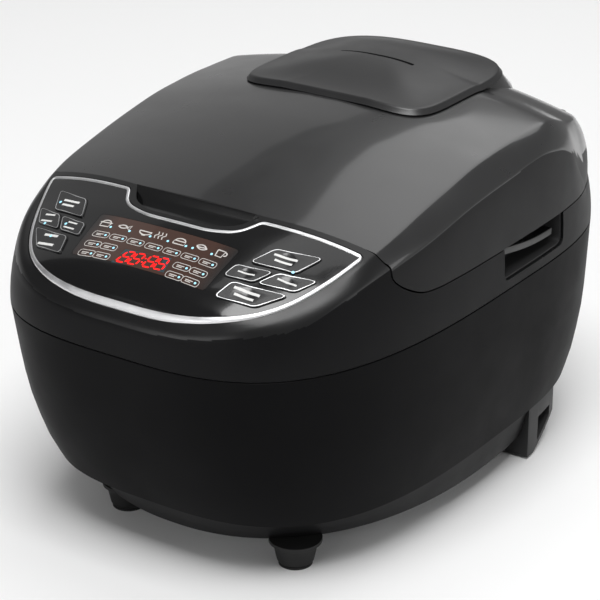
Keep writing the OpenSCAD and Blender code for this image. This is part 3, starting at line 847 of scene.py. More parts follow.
@dataclass(frozen=True)
class CookerForm:
    """The outer form, in millimetres about the widest section of the body."""

    walls: tuple[tuple[float, ...], ...] = (
        (39, 129.5, 199, 163, 3.1), (56, 133, 207, 167, 3.2), (95, 137.5, 219, 170.5, 3.3),
        (147.5, 140, 229, 171, 3.3))
    shoulder: Table = (
        (-229, 165.2), (-210, 168.7), (-190, 177), (-165, 188.5), (-140, 196.5), (-100, 205), (-50, 214),
        (0, 218), (30, 219.5), (55, 216), (75, 208), (92, 188), (104, 177.5), (171, 176.8))
    crown: Table = (
        (-223, 172.5), (-210, 177.5), (-190, 184.5), (-165, 195), (-142, 205), (-100, 216), (-60, 224),
        (-20, 230), (20, 232), (55, 232), (90, 222), (120, 215), (148, 208))
    dome_line: Table = (
        (-223, 172.5), (-200, 196), (-165, 209), (-143, 217), (-120, 224.5), (-100, 230), (-70, 237),
        (-40, 242), (0, 245.5), (50, 246), (90, 241), (120, 231), (148, 208))
    panel_line: Table = (
        (-223, 172.5), (-219, 181), (-211, 190.5), (-195, 198.5), (-180, 204.5), (-166, 210), (-150, 215),
        (-130, 221), (148, 240))
    seam: Table = ((-92, 0), (-108, 1.6), (-121, 7), (-130, 13.6), (-138, 23.4), (-142, 29.6), (-144.5, 52.5))
    shoulder_half: float = 133.6
    shoulder_reach: tuple[float, float] = (228.4, 170.5)
    shoulder_n: float = 3.1
    crown_side: float = 121.5
    crown_reach: tuple[float, float] = (224.5, 148.0)
    crown_n: tuple[float, float] = (3.65, 4.5)
    collar_z: float = 147.5
    lid_z: float = 175.5
    steps: int = 300
    edge_round: float = 1.5
    corner_swell: float = 0.022
    bow_depth: float = 6.4

    def turns(self) -> np.ndarray:
        """Gives the angles whose points lie evenly along the shoulder.

        Returns:
            Angles in radians.
        """
        dense = np.linspace(0, 2 * math.pi, 24001)
        plan = squircle(dense, 134.0, *self.shoulder_reach, self.shoulder_n, self.shoulder_n)
        length = np.concatenate([[0], np.cumsum(np.linalg.norm(np.diff(plan, axis=0), axis=1))])
        return np.interp(np.linspace(0, length[-1], self.steps, endpoint=False), length, dense)

    def wall_ring(self, z: float, inset: float = 0.0) -> np.ndarray:
        """Gives the wall's outline at a height, drawn in by an inset.

        Args:
            z: Height of the ring.
            inset: How far inside the wall it lies.

        Returns:
            The ring's points.
        """
        half, front, back, n = (float(follow(tuple((row[0], row[k]) for row in self.walls), np.array([z]))[0])
                                for k in (1, 2, 3, 4))
        return at_height(squircle(self.turns(), half - inset, front - inset, back - inset, n, n), z)

    def shoulder_ring(self, inset: float = 0.0) -> np.ndarray:
        """Gives the edge where the wall turns into the bevel.

        Args:
            inset: How far inside the edge the ring lies.

        Returns:
            The ring's points.
        """
        turn = self.turns()
        n, (front, back) = self.shoulder_n, self.shoulder_reach
        z = follow(self.shoulder, squircle(turn, self.shoulder_half, front, back, n, n)[:, 1])
        half = self.shoulder_half + (218 - z) * 0.11 - inset
        plan = squircle(turn, half, front - inset, back - inset, n, n)
        return at_height(plan, z - inset * 0.6)

    def crown_plan(self) -> np.ndarray:
        """Gives the plan of the edge between the bevel and the top.

        Returns:
            Points in plan.
        """
        plan = squircle(self.turns(), self.crown_side, *self.crown_reach, *self.crown_n)
        plan[:, 0] *= self.swell(plan[:, 1])
        return plan

    def swell(self, y: np.ndarray) -> np.ndarray:
        """Gives how much the crown widens beside the front edge of the lid."""
        return 1 + self.corner_swell * np.exp(-((y + 132) / 30) ** 2)

    def crown_half(self, y: np.ndarray) -> np.ndarray:
        """Gives the crown's half width at a distance along the body.

        Args:
            y: Places along the body.

        Returns:
            The half widths there.
        """
        reach, n = np.where(y < 0, *self.crown_reach), np.where(y < 0, *self.crown_n)
        share = 1 - np.minimum(1, np.abs(y) / reach) ** n
        return self.crown_side * self.swell(y) * np.maximum(1e-6, share) ** (1 / n)

    def top_height(self, x: np.ndarray, y: np.ndarray, line: Table, power: float) -> np.ndarray:
        """Gives the height of the top surface.

        Args:
            x: Places across.
            y: Places along.
            line: Heights along the middle.
            power: How squarely the surface falls to the crown edge.

        Returns:
            The heights.
        """
        middle, edge = follow(line, y), follow(self.crown, y)
        share = np.minimum(1.2, np.abs(x) / np.maximum(1, self.crown_half(y)))
        return middle - (middle - edge) * share ** power

    def panel_height(self, x: np.ndarray, y: np.ndarray) -> np.ndarray:
        """Gives the height of the key panel."""
        return self.top_height(np.asarray(x, float), np.asarray(y, float), self.panel_line, 3)

    def skin_rings(self, line: Table, power: float, inset: float, low: float) -> list[np.ndarray]:
        """Gives rings from the wall over shoulder and crown to near the middle.

        Args:
            line: Heights along the middle of the top.
            power: How squarely the top falls to the crown edge.
            inset: How far inside the outer skin the rings lie.
            low: Height of the lowest ring.

        Returns:
            The rings, upwards.
        """
        wall = self.wall_ring(self.collar_z, inset)
        edge = self.shoulder_ring(inset)
        shrink = 1 - inset / 130
        plan = self.crown_plan()
        turn = self.turns()
        bulge = np.where(np.sin(turn) > 0, 1 + 7 * np.sin(turn) ** 2, 0.6)
        crown = at_height(plan * shrink, follow(self.crown, plan[:, 1]) - inset)
        middle = (edge + crown) / 2 + np.column_stack(
            [bulge * np.cos(turn) * 0.8, bulge * np.sin(turn) * 0.8, bulge * 0.5])
        lean = wall.copy()
        lean[:, 2] = (wall[:, 2] + edge[:, 2]) / 2
        belly = 2 * middle - (edge + crown) / 2
        round_low = np.clip(self.edge_round / np.linalg.norm(edge - wall, axis=1), 0, 0.3)[:, None]
        round_mid = np.clip(self.edge_round / np.linalg.norm(crown - edge, axis=1), 0, 0.3)[:, None]

        def top(share: float) -> np.ndarray:
            """Gives a ring of the top at a share of the crown's size.

            Args:
                share: Share of the crown's size.

            Returns:
                The ring's points.
            """
            x, y = plan[:, 0] * share, plan[:, 1] * share
            return np.column_stack([x * shrink, y * shrink, self.top_height(x, y, line, power) - inset])

        if low < self.collar_z:
            rings = [at_height(wall, low), wall]
        else:
            rings = [self.wall_ring(low, inset + 0.5), at_height(wall, low + 0.5)]
        rings += [bend(wall, lean, edge, u * (1 - round_low)) for u in np.linspace(0, 1, 8)[1:]]
        first, second = rings[-1], bend(edge, belly, crown, round_mid)
        rings += [bend(first, edge, second, u) for u in (0.25, 0.5, 0.75)]
        rings += [bend(edge, belly, crown, round_mid + u * (1 - 2 * round_mid)) for u in np.linspace(0, 1, 8)]
        start = 1 - self.edge_round / 125
        rings += [bend(rings[-1], crown, top(start), u) for u in (0.25, 0.5, 0.75)]
        rings += [top(share) for share in (*np.linspace(start, 0.84, 8), *np.linspace(0.8, 0.08, 19))]
        return rings

    def dome(self, inset: float = 0.0, low: float = 147.9) -> Shell:
        """Makes the whole form with the lid's dome on top."""
        tip = follow(self.dome_line, np.array([0.0]))[0] - inset
        return loft(self.skin_rings(self.dome_line, 2, inset, low), (0, 0, tip))

    def panelled(self, inset: float = 0.0, low: float = 147.65) -> Shell:
        """Makes the whole form with the key panel's surface on top."""
        tip = follow(self.panel_line, np.array([0.0]))[0] - inset
        return loft(self.skin_rings(self.panel_line, 3, inset, low), (0, 0, tip))

    def seam_line(self, dy: float, dz: float) -> np.ndarray:
        """Gives the side view of the seam under the lid, moved by dy and dz.

        Args:
            dy: Move along the body.
            dz: Move upwards.

        Returns:
            Points of the side view, from the front to the rear of the lid's edge.
        """
        knots = np.array(self.seam, float)
        out = []
        for i in range(len(knots) - 1):
            before, after = knots[max(0, i - 1)], knots[min(len(knots) - 1, i + 2)]
            a, b = knots[i], knots[i + 1]
            out += [0.5 * (2 * a + (b - before) * u + (2 * before - 5 * a + 4 * b - after) * u * u
                           + (3 * a - before - 3 * b + after) * u ** 3) for u in np.linspace(0, 1, 7)[:-1]]
        out.append(knots[-1])
        return np.array(out) + (dy, self.lid_z + dz)

    def bow(self, x: float, view: np.ndarray) -> np.ndarray:
        """Gives how far back the lid's front edge lies at a place across, for each [y, z] of a side view.

        Args:
            x: Place across.
            view: Points of the side view.

        Returns:
            The shift of each point.
        """
        out = np.clip((abs(x) - 46) / 66, 0, 1) * self.bow_depth
        high = np.clip((view[:, 1] - 190) / 12, 0, 1)
        return out * high * high * (3 - 2 * high)

    def bowed_prism(self, outline: Sequence[Sequence[float]]) -> Shell:
        """Carries a side view across the width while its upper front bows back towards both sides.

        Args:
            outline: Points of the side view.

        Returns:
            The closed solid.
        """
        view = anticlockwise(np.asarray(outline, float))
        return loft([np.column_stack([np.full(len(view), x), view[:, 0] + self.bow(x, view), view[:, 1]])
                     for x in np.linspace(-170, 170, 69)])

    def lid_space(self, dy: float, dz: float) -> Shell:
        """Makes the space above and behind the seam, for cutting.

        Args:
            dy: Move of the seam along the body.
            dz: Move of the seam upwards.

        Returns:
            The closed solid.
        """
        last = self.seam[-1][0] + dy
        front = [(last, z) for z in (232, 240, 290)]
        return self.bowed_prism([*self.seam_line(dy, dz), *front, (240, 290), (240, self.lid_z + dz)])

    def spot(self, x: float, y: float) -> Spot:
        """Gives the axes that stand on the panel at a place in plan.

        Args:
            x: Place across.
            y: Place along.

        Returns:
            The spot and its axes.
        """
        heights = self.panel_height(np.array([x + 1, x - 1, x, x, x]), np.array([y, y, y + 1, y - 1, y]))
        dx, dy = (heights[0] - heights[1]) / 2, (heights[2] - heights[3]) / 2
        out = np.array([-dx, -dy, 1.0])
        across = np.array([1.0, 0, dx])
        out, across = out / np.linalg.norm(out), across / np.linalg.norm(across)
        return Spot(np.array([x, y, heights[4]]), np.stack([across, np.cross(out, across), out]))


FORM = CookerForm()


# ---------------------------------------------------------------- fitting pieces


@dataclass(frozen=True)
class Part:
    """One finished piece before it is put in the scene; steep tells its flank faces, which get a darker
    painted-shade finish, from the rest.
    """

    name: str
    shell: Shell
    finish: Finishes
    body: str
    replaces: tuple[str, ...] = ()
    cuts: tuple[tuple[Cut, Shell], ...] = ()
    sharp: float = 28.0
    edge: float = 0.0
    # flank: a darker copy of the piece's plastic for its steep faces, painted shade
    flank: Optional[Finishes] = None
    steep: float = 0.36

    def fit(self) -> bpy.types.Object:
        """Builds the piece, finishes it and ties it to its body.

        Returns:
            The new object.
        """
        piece = add_object(self.name, self.shell.mesh(self.name))
        carve(piece, self.cuts)
        if self.edge:
            round_edges(piece, self.edge)
        soften(piece, self.sharp)
        self.finish.value.dress(piece)
        # Steep faces take the flank finish: painted shade on the piece's sides
        if self.flank is not None:
            piece.data.materials.append(self.flank.value.material())
            for face in piece.data.polygons:
                face.material_index = int(abs(face.normal.z) < self.steep)
        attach(piece, self.body)
        if self.replaces:
            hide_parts(*self.replaces)
        LOG.info("%-22s %6d faces, rides on %s", self.name, len(piece.data.polygons), self.body)
        return piece


# ---------------------------------------------------------------- base and body


@dataclass(frozen=True)
class Housing:
    """The lower body, its skirt and its feet."""

    form: CookerForm = FORM
    wall: float = 2.5
    base_z: float = 15.5
    seat_z: float = 39.0
    skirt_top: float = 38.7
    flank_rise: float = 23.2
    flank_sizes: Table = ((122.9, 127), (179.5, 193), (150, 156), (2.3, 2.7))
    foot_places: tuple[tuple[str, float], ...] = (("front_foot_left", -54.0), ("front_foot_right", 75.0))
    foot_y: float = -153.0
    foot_profile: Table = (
        (9.2, 1.6), (10.6, 2.0), (11.4, 3.0), (11.9, 5.0), (12.8, 9.5), (13.6, 13.2), (14.5, 14.6),
        (16.4, 15.5), (16.4, 17.6))
    rear_view: Table = ((43, 38.6), (43, 1.6), (52, 1.6), (87, 18), (87, 38.6))
    rear_window: Table = ((58, 8), (79, 18), (79, 25.5), (58, 25.5))
    rear_span: tuple[float, float] = (88.0, 130.0)

    def flank(self, z: float, inset: float = 0.0) -> np.ndarray:
        """Gives the skirt's outline at a height.

        Args:
            z: Height of the outline.
            inset: How far inside the skirt it lies.

        Returns:
            The ring's points.
        """
        share = (z - self.base_z) / self.flank_rise
        half, front, back, n = (a + (b - a) * share for a, b in self.flank_sizes)
        plan = squircle(self.form.turns(), half - inset, front - inset, back - inset, n, n)
        return at_height(plan, z)

    def lower_body(self) -> Part:
        """Makes the lower body with the opening for the mains inlet.

        Returns:
            The lower body.
        """
        heights = np.array([39.6, 44, 56, 70, 85, 100, 115, 130, 142, 146.9])
        low, high, ring = self.seat_z, self.form.collar_z, self.form.wall_ring
        outer = [ring(low, 0.6), *(ring(z) for z in heights), ring(high, 0.6)]
        inner = [ring(low, self.wall + 0.6), *(ring(z, self.wall) for z in heights), ring(high, self.wall)]
        inner[0][:, 2], inner[-1][:, 2] = 38.8, 147.8
        cuts = tuple(removing(loft(inner), block((-15, 130, 57), (15, 180, 79))))
        return Part("lower_body_shell", loft(outer), Finishes.SHELL, Body.BASE.value, ("lower_body",), cuts)

    def skirt(self) -> Part:
        """Makes the skirt under the body, with a rounded lower edge.

        Returns:
            The skirt.
        """
        low, high = self.base_z, self.skirt_top
        rings = [self.flank(low, 1.8), at_height(self.flank(low, 0.8), low + 0.35),
                 at_height(self.flank(low, 0.2), low + 1.1), self.flank(low + 2.2), self.flank(27),
                 self.flank(high)]
        hollow = loft([at_height(self.flank(low, 2.9), low + 2.4),
                       at_height(self.flank(high, 2.5), self.seat_z)])
        floor = loft([at_height(self.flank(low, 16), z) for z in (low - 1, low + 4)])
        cuts = tuple(removing(hollow, floor))
        return Part("base_skirt_shell", loft(rings), Finishes.SKIRT, Body.BASE.value, ("base_skirt",), cuts)

    def front_foot(self, name: str, x: float) -> Part:
        """Turns one front foot: a tapered cup with a rounded sole and a collar at the skirt.

        Args:
            name: Name of the foot's node.
            x: Place across.

        Returns:
            The foot.
        """
        turn = np.linspace(0, 2 * math.pi, 72, endpoint=False)
        rings = [np.column_stack([x + r * np.cos(turn), self.foot_y + r * np.sin(turn), np.full(72, z)])
                 for r, z in self.foot_profile]
        return Part(f"{name}_cup", loft(rings), Finishes.RUBBER, Body.BASE.value, (name,), sharp=50)

    def rear_foot(self, side: Side) -> Part:
        """Makes one rear foot: a block with a window, whose sole rises to the rear.

        Args:
            side: The half of the cooker.

        Returns:
            The foot.
        """
        name = f"rear_foot_{side.name.lower()}"
        wall = self.form.wall_ring(self.seat_z, 2.2)
        outer = loft([at_height(wall, z) for z in (-5, 60)])
        frame = side_prism(self.rear_view, *side.span(*self.rear_span))
        window = side_prism(rounded(self.rear_window, (1, 1, 1, 1), 3), -140, 140)
        keep_out = loft([at_height(self.flank(self.base_z, -0.1), self.base_z - 0.05),
                         at_height(self.flank(self.skirt_top, -0.1), 38.8)])
        cuts = ((Cut.KEEP, outer), *removing(keep_out, window))
        return Part(f"{name}_frame", frame, Finishes.RECESS, Body.BASE.value, (name,), cuts, edge=0.5)

    def parts(self) -> list[Part]:
        """Gives every piece of the base."""
        feet = [self.front_foot(name, x) for name, x in self.foot_places]
        return [self.lower_body(), self.skirt(), *feet, *(self.rear_foot(side) for side in Side)]


@dataclass(frozen=True)
class HingeSizes:
    """Sizes that the lid and the collar share at the hinge."""

    y: float = 158.0
    z: float = 190.5
    knuckle: float = 12.5
    pin: float = 3.0
    base_span: tuple[float, float] = (46.0, 80.0)
    lid_span: tuple[float, float] = (24.0, 44.0)

    def knuckle_bar(self, low: float, high: float) -> Shell:
        """Makes one knuckle between two places across."""
        return round_bar((low, self.y, self.z), self.knuckle, high - low, 0, edge=1.2)

    def bore(self, clearance: float) -> Shell:
        """Makes the pin's hole."""
        return round_bar((-100, self.y, self.z), self.pin + clearance, 200, 0, steps=48)


@dataclass(frozen=True)
class PanelLayout:
    """The outline of the key panel and of what stands round it."""

    form: CookerForm = FORM
    back: float = -144.5
    notch_half: float = 45.0
    trim_inset: float = 4.15
    trim_half: float = 0.9
    arc_half: float = 120.5
    arc_reach: float = 221.3
    arc_n: float = 3.4
    corner_radii: tuple[float, ...] = (3, 2.5, 7, 8, 8, 7, 2.5, 3)

    def notch(self, grow: float, back: float) -> list[tuple[float, float]]:
        """Gives the corners of the button's notch, left to right, grown by a distance."""
        right = [(self.notch_half + grow, back), (37 + grow, -157.5 - grow), (24.0, -162.5 - grow)]
        return [(-x, y) for x, y in right] + right[::-1]

    def notch_pocket(self, grow: float, back: float, corner: float = 6.0) -> np.ndarray:
        """Gives the notch as a closed outline with rounded front corners."""
        return rounded(self.notch(grow, back), (0, corner, corner, corner, corner, 0))

    def outline(self, grow: float = 0.0) -> np.ndarray:
        """Gives the trim's middle line, grown outwards, as evenly spaced points.

        Args:
            grow: How far outside the trim's middle line.

        Returns:
            Points in plan, anticlockwise.
        """
        inset = self.trim_inset
        turn = np.linspace(math.pi, 2 * math.pi, 1441)
        arc = squircle(turn, self.arc_half, self.arc_reach, 1, self.arc_n, self.arc_n)
        arc[:, 0] *= self.form.swell(arc[:, 1])
        y_back = self.back - inset
        y_corner = y_back + self.form.bow_depth * 0.97
        left = arc[: len(arc) // 2]
        corner_x = -np.interp(-y_corner, -left[:, 1], left[:, 0])
        arc = arc[arc[:, 1] < y_corner - 8.5]
        notch = self.notch(inset, y_back)
        corners = [*arc[::4], (corner_x, y_corner), *notch[::-1], (-corner_x, y_corner)]
        radii = [0.0] * len(arc[::4]) + list(self.corner_radii)
        return evenly(offset_outline(evenly(rounded(corners, radii), 0.8), grow), 1.1)

    def column(self, grow: float, low: float = 150, high: float = 240) -> Shell:
        """Raises the outline into a solid for cutting."""
        return prism(self.outline(grow), low, high)

    def bead(self, profile: Sequence[tuple[float, float]]) -> Shell:
        """Runs a bead of [across, up] points along the outline on the panel's surface.

        Args:
            profile: Points of the bead's section.

        Returns:
            The closed bead.
        """
        middle = self.outline()
        rings = []
        for across, up in profile:
            plan = offset_outline(middle, across)
            rings.append(at_height(plan, self.form.panel_height(plan[:, 0], plan[:, 1]) + up))
        return tube_loft(rings)


PANEL = PanelLayout()
HINGE = HingeSizes()


@dataclass(frozen=True)
class Collar:
    """The fixed upper shell with its finger trays and half of the hinge."""

    form: CookerForm = FORM
    wall: float = 2.5
    deck_z: float = 175.1
    rim_z: float = 169.0
    pot_radius: float = 110.0
    tray: tuple[float, float, float, float] = (-22.0, 55.0, 154.0, 175.6)
    lip_span: tuple[float, float] = (129.0, 135.6)
    lip_top: float = 174.6
    lip_height: float = 4.6
    lip_sag: float = 7.2
    screw_places: Table = ((-118, -70), (118, -70), (-112, 100), (112, 100))

    def inside(self) -> Shell:
        """Gives the hollow of the collar.

        Returns:
            The closed solid.
        """
        view = [(230, 140), (230, self.deck_z - 3), (-95, self.deck_z - 3), *self.form.seam_line(-3, -3.4),
                (-147.5, 290), (-260, 290), (-260, 140)]
        return combined(self.form.panelled(self.wall, 140), [(Cut.KEEP, self.form.bowed_prism(view))])

    def tray_spaces(self) -> list[Shell]:
        """Gives the openings for the two finger trays.

        Returns:
            Two solids for cutting.
        """
        y0, y1, z0, z1 = self.tray
        view = rounded([(y0, z0), (y1, z0), (y1, z1 + 14), (y0, z1 + 14)], (6, 6, 0, 0))
        return [side_prism(view, *side.span(119.2, 150)) for side in (Side.RIGHT, Side.LEFT)]

    def shell(self) -> Part:
        """Makes the collar.

        Returns:
            The collar.
        """
        bore = round_bar((0, 0, 150), self.pot_radius + 2.5, 40, 2, steps=160)
        ledge = round_bar((0, 0, self.rim_z - 1), self.pot_radius + 8.4, 40, 2, steps=160)
        spaces = self.tray_spaces()
        groove = PANEL.bead([(1.7, -0.8), (1.7, 4), (0.6, 4), (0.6, -0.8)])
        pocket = loft([at_height(anticlockwise(PANEL.notch_pocket(0.0, -146)), z) for z in (193, 260)])
        ring = combined(round_bar((0, 0, self.rim_z - 5), self.pot_radius + 12, 10.1, 2, steps=160),
                        removing(bore, ledge, *spaces))
        screws = [round_bar((x, y, self.deck_z - 1.6), 3.4, 20, 2, steps=32) for x, y in self.screw_places]
        button_way = block((-10, -143, 170), (10, -124, 203))
        cuts = removing(self.form.lid_space(-0.6, -0.4), self.inside(), bore, ledge,
                        PANEL.column(-0.85, 172, 232), groove, pocket, button_way, *spaces, *screws)
        cuts.append((Cut.JOIN, ring))
        for side in Side:
            start, end = side.span(*HINGE.base_span)
            stand = block((start, 149, self.deck_z - 0.5), (end, 164, self.deck_z + 11.5))
            cuts += [(Cut.JOIN, HINGE.knuckle_bar(start, end)), (Cut.JOIN, stand)]
        cuts += removing(HINGE.bore(0.02))
        # The collar's steep faces get painted shade through the flank finish.
        return Part("collar_shell", self.form.panelled(), Finishes.COLLAR, Body.BASE.value, ("upper_collar",),
                    tuple(cuts), flank=Finishes.COLLAR_FLANK_SHADED)

    def tray_part(self, side: Side) -> Part:
        """Makes one finger tray whose mouth follows the wall.

        Args:
            side: The half of the cooker.

        Returns:
            The tray.
        """
        y0, y1 = self.tray[0] + 0.4, self.tray[1] - 0.4
        low, high, thick = 154.4, 174.8, 1.2
        mouth = rounded([(y0, low), (y1, low), (y1, high), (y0, high)], (5.6, 5.6, 1.5, 1.5))
        inner = [(y0 + thick, low + thick), (y1 - thick, low + thick), (y1 - thick, high + 8),
                 (y0 + thick, high + 8)]
        pocket = side_prism(rounded(inner, (5, 5, 0, 0)), *side.span(121.4, 150))
        body = combined(side_prism(mouth, *side.span(119.4, 146)), [(Cut.KEEP, self.form.panelled(1.8, 140))])
        name = f"grip_{side.name.lower()}"
        return Part(f"{name}_tray", body, Finishes.RECESS, Body.BASE.value, (name,), tuple(removing(pocket)),
                    edge=0.25)

    def lip_part(self, side: Side) -> Part:
        """Makes the sagging lip that hangs across the mouth of a finger tray.

        Args:
            side: The half of the cooker.

        Returns:
            The lip.
        """
        start, end = self.tray[0] + 2.6, self.tray[1] - 10
        along = np.linspace(0, 1, 40)
        high = self.lip_top - self.lip_sag * np.sin(np.clip(along / 0.9, 0, 1) * math.pi / 2)
        y = start + (end - start) * along
        view = np.vstack([np.column_stack([y, high - self.lip_height]), np.column_stack([y, high])[::-1]])
        return Part(f"grip_{side.name.lower()}_lip", side_prism(view, *side.span(*self.lip_span)),
                    Finishes.COLLAR, Body.BASE.value, edge=0.5)

    def parts(self) -> list[Part]:
        """Gives every piece of the collar."""
        trays = [self.tray_part(side) for side in Side]
        return [self.shell(), *trays, *(self.lip_part(side) for side in Side)]


# ---------------------------------------------------------------- panel


@dataclass(frozen=True)
class Glyph:
    """A small generic sign drawn from strokes in a box from -1 to 1."""

    strokes: tuple[Table, ...]

    def ribbons(self, x: float, y: float, width: float, height: float, line: float) -> list[np.ndarray]:
        """Gives closed outlines of the strokes.

        Args:
            x: Middle of the sign across.
            y: Middle of the sign along.
            width: Half width of the sign.
            height: Half height of the sign.
            line: Width of a stroke.

        Returns:
            One outline for each stroke.
        """
        out = []
        for stroke in self.strokes:
            path = np.array(stroke, float) * (width, height) + (x, y)
            way = np.gradient(path, axis=0)
            way /= np.linalg.norm(way, axis=1)[:, None] + 1e-9
            side = np.stack([-way[:, 1], way[:, 0]], axis=1) * line / 2
            out.append(anticlockwise(np.vstack([path + side, (path - side)[::-1]])))
        return out


def arc_stroke(x: float, y: float, rx: float, ry: float, start: float, end: float) -> Table:
    """Gives an arc as a stroke; angles are in degrees."""
    return tuple((x + rx * math.cos(math.radians(a)), y + ry * math.sin(math.radians(a)))
                 for a in np.linspace(start, end, 14))


class Sign(Enum):
    """The signs over the display."""

    POT = Glyph((((-0.8, 0.1), (-0.7, -0.8), (0.7, -0.8), (0.8, 0.1)), ((-1, 0.2), (1, 0.2)),
                 arc_stroke(0, 0.2, 0.7, 0.6, 170, 10)))
    STEAM = Glyph((((-0.6, -0.8), (-0.8, -0.2), (-0.4, 0.3), (-0.6, 0.9)),
                   ((0, -0.8), (-0.2, -0.2), (0.2, 0.3), (0, 0.9)),
                   ((0.6, -0.8), (0.4, -0.2), (0.8, 0.3), (0.6, 0.9))))
    BOWL = Glyph((arc_stroke(0, 0.1, 0.95, 0.8, 180, 360), ((-1, 0.15), (1, 0.15)),
                  ((-0.3, -0.85), (0.3, -0.85))))
    LEAF = Glyph((arc_stroke(-0.1, -0.5, 0.9, 1.1, 20, 150), arc_stroke(0.1, 0.5, 0.9, 1.0, 200, 330),
                  ((-0.8, -0.1), (0.8, 0.1))))
    FISH = Glyph((arc_stroke(-0.2, -0.5, 0.8, 0.9, 20, 160), arc_stroke(-0.2, 0.5, 0.8, 0.9, 200, 340),
                  ((0.5, 0), (1, 0.6), (1, -0.6), (0.5, 0))))
    CAKE = Glyph((((-0.9, -0.8), (-0.9, 0.0), (0.9, 0.0), (0.9, -0.8), (-0.9, -0.8)),
                  arc_stroke(0, 0, 0.8, 0.7, 180, 0)))
    CUP = Glyph((((-0.7, 0.7), (-0.55, -0.8), (0.35, -0.8), (0.5, 0.7), (-0.7, 0.7)),
                 arc_stroke(0.5, 0.1, 0.4, 0.45, 80, -80)))


